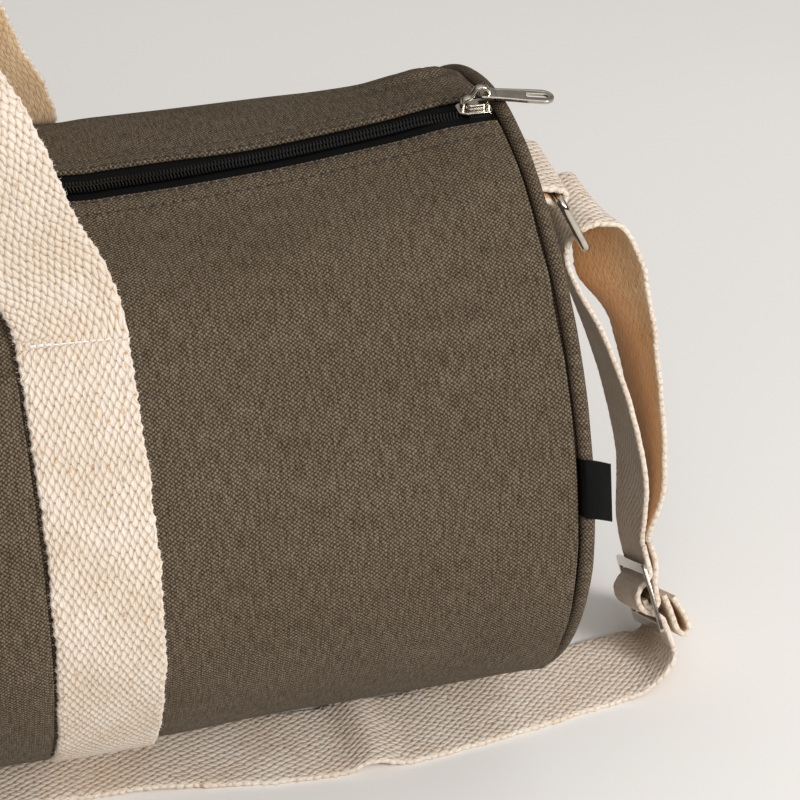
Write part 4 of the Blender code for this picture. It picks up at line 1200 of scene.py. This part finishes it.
def tabs():
    """Webbing folded over each ring's top bar and sewn into the end seam, narrower towards the seam."""
    wrap, bar = RING_WIRE + GAP + WEBBING / 2, np.array(RING_TOP)
    turn = [bar + wrap * np.array([np.cos(a), np.sin(a)]) for a in np.radians(TAB_TURN)]
    root_top = np.array([BAG_HALF_LENGTH + PIPING_RADIUS * 1.45, bar[1] + WEBBING * 2.1])
    over = np.array([BAG_HALF_LENGTH + PIPING_RADIUS * 4.6, bar[1] + WEBBING * 2.05])
    root_low = root_top - [-GAP * 5, WEBBING * 2.2]
    path = [root_top, over, *turn, bar + [-wrap * 1.7, -WEBBING * 0.1], root_low]
    for side, which in ENDS:
        line = smooth_line([(x * side, 0, z) for x, z in path], 1.2 * MM)
        widths = np.tile([0.0, -1.0 * side, 0.0], (len(line), 1))
        rows = ribbon_rows(line, widths, lengths(line))
        gathered = 1 - smooth(np.abs(rows[..., 0]), BAG_HALF_LENGTH + 4 * MM, RING_TOP[0] - 3 * MM)
        rows[..., 1] *= TAB_WIDTH / WEBBING_WIDTH * (1 - 0.3 * gathered)
        rows[..., 1] -= TAB_ROOT_SHIFT * gathered
        made = webbing_piece(f"strap_loop_{which}", rows, lengths(line))
        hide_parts(f"strap_tab_{which}")
        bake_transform(made)


# Nickel fittings
def rings():
    """Wire bent to a rectangle with rounded corners."""
    half, corner = RING_INSIDE / 2 + RING_WIRE, RING_WIRE * 2
    top, foot = (np.array([x, 0, z]) for x, z in (RING_TOP, RING_FOOT))
    height = np.linalg.norm(foot - top)
    down = (foot - top) / height
    plan = []
    for y, depth, start in (
        (half - corner, corner, 90), (half - corner, height - corner, 0),
        (corner - half, height - corner, -90), (corner - half, corner, -180),
    ):
        for angle in np.radians(np.linspace(start, start - 90, 9)):
            plan.append((y + corner * np.cos(angle), depth - corner * np.sin(angle)))
    dense = []
    for (y0, d0), (y1, d1) in zip(plan, [*plan[1:], plan[0]]):
        steps = max(1, int(np.hypot(y1 - y0, d1 - d0) / (3 * MM)))
        dense += [(y0 + (y1 - y0) * k / steps, d0 + (d1 - d0) * k / steps) for k in range(steps)]
    centres = np.array([top + down * d + np.array([0, y, 0]) for y, d in dense])
    ahead = unit(np.roll(centres, -1, 0) - np.roll(centres, 1, 0))
    across = np.tile(np.cross(down, [0, 1.0, 0]), (len(centres), 1))
    up = np.cross(ahead, across)
    for side, which in ENDS:
        frames = (part * [side, 1, 1] for part in (centres, across * side, up))
        made = ring_tube(f"wire_ring_{which}", *frames, RING_WIRE, nickel, sides=20)
        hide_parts(f"strap_ring_{which}")
        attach(made, "shoulder_strap")


def rounded(points, radius=0.0, steps=5):
    """A flat outline with its corners rounded; points may carry their own radius as a third value."""
    made, count = [], len(points)
    for i, point in enumerate(points):
        p = np.array(point[:2], float)
        r = point[2] if len(point) > 2 else radius
        before, after = np.array(points[i - 1][:2]) - p, np.array(points[(i + 1) % count][:2]) - p
        lb, la = np.linalg.norm(before), np.linalg.norm(after)
        before, after = before / lb, after / la
        half = np.arccos(np.clip(before @ after, -1, 1)) / 2
        reach = min(r / np.tan(half), lb / 2.02, la / 2.02)
        r = reach * np.tan(half)
        centre = p + unit(before + after) * r / np.sin(half)
        a, b = p + before * reach, p + after * reach
        start, end = np.arctan2(*(a - centre)[::-1]), np.arctan2(*(b - centre)[::-1])
        turn = (end - start + PI) % (2 * PI) - PI
        turns = start + turn * np.arange(steps + 1) / steps
        made += [centre + r * np.array([np.cos(t), np.sin(t)]) for t in turns]
    return made


def rounded_box(x0, x1, y0, y1, radius):
    return rounded([(x0, y0), (x1, y0), (x1, y1), (x0, y1)], radius)


def both_sides(half):
    """A closed outline from the half of it on one side of the X axis."""
    return np.array([*half, *((x, -y, *radius) for x, y, *radius in half[::-1])])


def plate(name, outlines, thickness, bevel):
    """A flat plate with holes, its edges rounded, lying in XY at z = 0."""
    curve = bpy.data.curves.new(name, "CURVE")
    curve.dimensions = "2D"
    curve.fill_mode = "BOTH"
    curve.extrude = thickness / 2 - bevel
    curve.bevel_depth = bevel
    curve.bevel_resolution = 3
    for number, outline in enumerate(outlines):
        spline = curve.splines.new("POLY")
        spline.points.add(len(outline) - 1)
        outline = np.array(outline)
        outline = outline + unit(outline - outline.mean(axis=0)) * (bevel if number else -bevel)
        for target, point in zip(spline.points, outline):
            target.co = (*point, 0, 1)
        spline.use_cyclic_u = True
    holder = bpy.data.objects.new(name, curve)
    bpy.context.scene.collection.objects.link(holder)
    bpy.context.view_layer.update()
    mesh = bpy.data.meshes.new_from_object(holder.evaluated_get(bpy.context.evaluated_depsgraph_get()))
    bpy.data.objects.remove(holder)
    bpy.data.curves.remove(curve)
    mesh.name = name
    mesh.materials.clear()
    mesh.materials.append(nickel)
    return shown(name, mesh, 35)


ADJUSTER_HALF_LENGTH = 15 * MM
ADJUSTER_SIDE_BAR = 2.4 * MM
ADJUSTER_BAR = 4 * MM


def adjuster():
    """A flat frame with a bar across its middle."""
    half, side_bar, length = RING_INSIDE / 2, ADJUSTER_SIDE_BAR, ADJUSTER_HALF_LENGTH
    near, far = ADJUSTER_BAR / 2, length - ADJUSTER_BAR
    outside = rounded_box(-half - side_bar, half + side_bar, -length, length, 2.0 * MM)
    slots = [rounded_box(-half, half, low, high, 0.9 * MM) for low, high in ((-far, -near), (near, far))]
    made = plate("three_bar_adjuster", [outside, *slots], 1.8 * MM, 0.55 * MM)
    place = Matrix((ADJUSTER_ACROSS, ADJUSTER_DOWN, ADJUSTER_OUT)).transposed().to_4x4()
    place.translation = Vector(ADJUSTER_CENTRE)
    made.matrix_world = place
    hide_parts("strap_adjuster")
    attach(made, "shoulder_strap")


SLIDER_LEFT = 233.0 * MM
SLIDER_RIGHT = 246.4 * MM
SLIDER_MIDDLE = (SLIDER_LEFT + SLIDER_RIGHT) / 2
SLIDER_TOP = 252.9 * MM
SLIDER_HALF_MM = 4.6
SLIDER_NECK_MM = 3.0
PIVOT = np.array([SLIDER_LEFT + 9.3 * MM, 0, SLIDER_TOP + 5.1 * MM])
BAIL_RADIUS = 3.8 * MM
BAIL_WIRE = 1.4 * MM
BAIL_THICKNESS = 1.7 * MM
BAIL_HALF_WIDTH = 1.5 * MM
# Name, outline box with its corner radius, thickness, edge rounding, place from the slider's middle
SLIDER_BLOCKS_MM = [
    ("post", (-1.0, 1.0, -0.8, 0.8, 0.6), 5.2, 0.1, (4.1, 0, 249.6)),
    ("flange", (-4.6, 4.6, -0.45, 0.45, 0.35), 1.5, 0.12, (1.5, -4.02, 251.1)),
    ("flange", (-4.6, 4.6, -0.45, 0.45, 0.35), 1.5, 0.12, (1.5, 4.02, 251.1)),
    ("crown", (-4.0, 4.4, -2.3, 2.3, 1.5), 2.6, 0.9, (0.6, 0, 253.8)),
]


def slider_plates():
    """The slider's cap and base, the post and flanges that join them, and the crown under the bail."""
    reach = (SLIDER_RIGHT - SLIDER_LEFT) / 2 / MM
    neck = (SLIDER_NECK_MM - reach, -SLIDER_HALF_MM)
    cap = both_sides([(-reach, -SLIDER_NECK_MM), neck, (reach, -SLIDER_HALF_MM)]) * MM
    outlines = [
        ("cap", rounded(cap, 1.6 * MM), 1.3, 0.45, (0, 0, 252.25)),
        ("base", rounded(cap * [1, 0.9], 1.6 * MM), 1.3, 0.45, (0, 0, 246.6)),
    ]
    outlines += [(name, rounded_box(*np.array(box) * MM), *rest) for name, box, *rest in SLIDER_BLOCKS_MM]
    made = []
    for name, outline, thickness, bevel, place in outlines:
        part = plate(f"slider_{name}_plate", [outline], thickness * MM, bevel * MM)
        part.location = Vector(place) * MM + Vector((SLIDER_MIDDLE, 0, 0))
        made.append(part)
    return made


def slider_bail():
    """A flat loop whose nose is round about the puller's pivot."""
    wire = BAIL_RADIUS - BAIL_WIRE / 2
    turns = np.radians(np.linspace(-20, 125, 18))
    arch = PIVOT[::2] + wire * np.stack([np.cos(turns), np.sin(turns)], -1)
    foot = SLIDER_TOP - 0.3 * MM
    right = [(PIVOT[0] + wire - 0.05 * MM, foot + (arch[0][1] - foot) * k / 4) for k in range(4)]
    left_x, shoulder = SLIDER_LEFT + 2.0 * MM, PIVOT[2] - 1.7 * MM
    left = smooth_line([
        arch[-1], (PIVOT[0] - 4.2 * MM, PIVOT[2] - 0.6 * MM), (left_x + 0.7 * MM, shoulder),
        (left_x, shoulder - 2.2 * MM), (left_x, foot),
    ], 0.6 * MM)[1:]
    path = np.array([*right, *arch, *left])
    turns = np.linspace(0, 2 * PI, 16, endpoint=False)
    thick, wide = (
        half * np.sign(share) * np.abs(share) ** 0.6
        for half, share in ((BAIL_THICKNESS / 2, np.cos(turns)), (BAIL_HALF_WIDTH, np.sin(turns)))
    )
    rows = [
        np.stack([x + thick * az, wide, z - thick * ax], -1)
        for (x, z), (ax, az) in zip(path, unit(np.gradient(path, axis=0)))
    ]
    return sweep("slider_bail_loop", rows, [np.zeros((17, 2))] * len(rows), [nickel], sharp=60)


def slider():
    """All of its parts ride together, in place of the solid, which is hidden."""
    made = [*slider_plates(), slider_bail()]
    for part in made:
        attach(part, "slider")
    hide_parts("zip_slider")


# The puller's outlines: along from its eye, across and corner radius, for one side of it
PULL_THICKNESS = 1.3 * MM
PULL_OUTSIDE_MM = [(-0.65, 3.5, 0.5), (6.1, 3.5, 3), (17.5, 4.2, 6), (28, 4.2, 4.1)]
PULL_SLOT_MM = [(17.5, -1.6, 0.3), (25.5, -1.5, 1.4)]
PULL_RIM_MM = [(5.6, 2.55, 0.5), (17, 3.15, 4), (26.8, 3.1, 3)]
PULL_EYE = (PULL_THICKNESS / 2, 4.8 * MM)
PULL_DROOP = np.radians(5.0)
PULL_LEAN = np.radians(-10.0)


def puller():
    """A flat pull with rounded tip and slot, a raised rim round its face."""
    outside = rounded(both_sides(PULL_OUTSIDE_MM) * MM, steps=8)
    slot, rim_hole = (rounded(both_sides(half) * MM, steps=6) for half in (PULL_SLOT_MM, PULL_RIM_MM))
    eye = rounded_box(*PULL_EYE, -2.0 * MM, 2.0 * MM, 0.9 * MM)
    blade = plate("pull_blade", [outside, eye, slot], PULL_THICKNESS, 0.4 * MM)
    rim = plate("pull_raised_rim", [outside, rim_hole], PULL_THICKNESS + 0.3 * MM, 0.4 * MM)
    place = Matrix.Translation(Vector(PIVOT)) @ Matrix.Rotation(PULL_DROOP, 4, "Y")
    place = place @ Matrix.Translation((BAIL_RADIUS - BAIL_WIRE / 2 - GAP / 2, 0, 0))
    place = place @ Matrix.Rotation(PULL_LEAN, 4, "Z") @ Matrix.Translation((-sum(PULL_EYE) / 2, 0, 0))
    for part in (blade, rim):
        part.matrix_world = place
        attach(part, "puller")
    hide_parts("zip_puller")


body_cloth()
strips()
lip_stitches()
zip_tapes()
zip_coil()
end_cloth()
piping()
seam_bindings()
body_bands()
handles()
pocket()
side_label()
shoulder_strap()
tabs()
rings()
adjuster()
slider()
puller()

# Stage: pale floor, plain soft lights, camera at the photograph's view
FLOOR_HALF = 6
LAMPS = [
    ("key_softbox", (1.3, -1.5, 1.25), (0.05, 0, 0.1), 0.6, 33),
    ("fill_softbox", (0.1, -1.5, 1.7), (0, 0, 0.05), 1.4, 10),
]
# The room's light by height, and the plain backdrop that only the camera sees
ROOM_STOPS = [(0.0, "#3c3937"), (0.3, "#6e6a65"), (0.7, "#efece9"), (1.0, "#ffffff")]
BACKDROP = linear("#d0ccc7")
ROOM_STRENGTH = 0.74
CAMERA_PLACE = (-0.0224, -0.7427, 0.7109)
CAMERA_YAW, CAMERA_PITCH, CAMERA_ROLL = np.radians([17.79, -37.27, 2.70])
CAMERA_LENS, CAMERA_SENSOR = 107.4, 36


def pale_floor():
    """Matt studio paper, hardly uneven in tone."""
    made, tree, shader = blank("pale_studio_floor", 0.9, Base_Color=linear("#e8e5e1"))
    tone = noise(tree, solid_place(tree), 2.0)
    feed(tree, shader, Base_Color=colours(tree, tone, [(0.3, "#e6e3df"), (0.7, "#eae7e3")]))
    return made


def lamp(name, place, target, size, power):
    data = bpy.data.lights.new(name, "AREA")
    data.shape = "RECTANGLE"
    data.size = data.size_y = size
    data.energy = power
    made = bpy.data.objects.new(name, data)
    made.location = place
    made.rotation_euler = (Vector(target) - Vector(place)).to_track_quat("-Z", "Y").to_euler()
    bpy.context.scene.collection.objects.link(made)


def room():
    """Light from all round, warm and dark below, and a plain pale backdrop."""
    world = bpy.data.worlds.new("studio_world")
    bpy.context.scene.world = world
    world.use_nodes = True
    tree = world.node_tree
    shader = tree.nodes["Background"]
    height = add(tree, "SeparateXYZ", None, {0: add(tree, "TexCoord").outputs["Generated"]}).outputs[2]
    seen = add(tree, "LightPath").outputs["Is Camera Ray"]
    feed(tree, shader, Color=mix(tree, seen, colours(tree, height, ROOM_STOPS), BACKDROP))
    shader.inputs["Strength"].default_value = ROOM_STRENGTH


def camera():
    """Looks down on the right half of the bag from the front."""
    data = bpy.data.cameras.new("camera")
    data.lens, data.sensor_width = CAMERA_LENS, CAMERA_SENSOR
    made = bpy.data.objects.new("camera", data)
    flat = np.array([np.sin(CAMERA_YAW), np.cos(CAMERA_YAW), 0])
    ahead = flat * np.cos(CAMERA_PITCH) + [0, 0, np.sin(CAMERA_PITCH)]
    level = np.array([np.cos(CAMERA_YAW), -np.sin(CAMERA_YAW), 0])
    lifted = np.cross(level, ahead)
    right = level * np.cos(CAMERA_ROLL) + lifted * np.sin(CAMERA_ROLL)
    upward = -level * np.sin(CAMERA_ROLL) + lifted * np.cos(CAMERA_ROLL)
    matrix = Matrix((right, upward, -ahead)).transposed().to_4x4()
    matrix.translation = Vector(CAMERA_PLACE)
    made.matrix_world = matrix
    bpy.context.scene.collection.objects.link(made)
    bpy.context.scene.camera = made


far = FLOOR_HALF
floor_corners = [(-far, -far, 0), (far, -far, 0), (far, far, 0), (-far, far, 0)]
piece("studio_floor", floor_corners, [(0, 1, 2, 3)], [pale_floor()])
for softbox in LAMPS:
    lamp(*softbox)
room()
camera()
bpy.context.scene.view_settings.view_transform = "Standard"
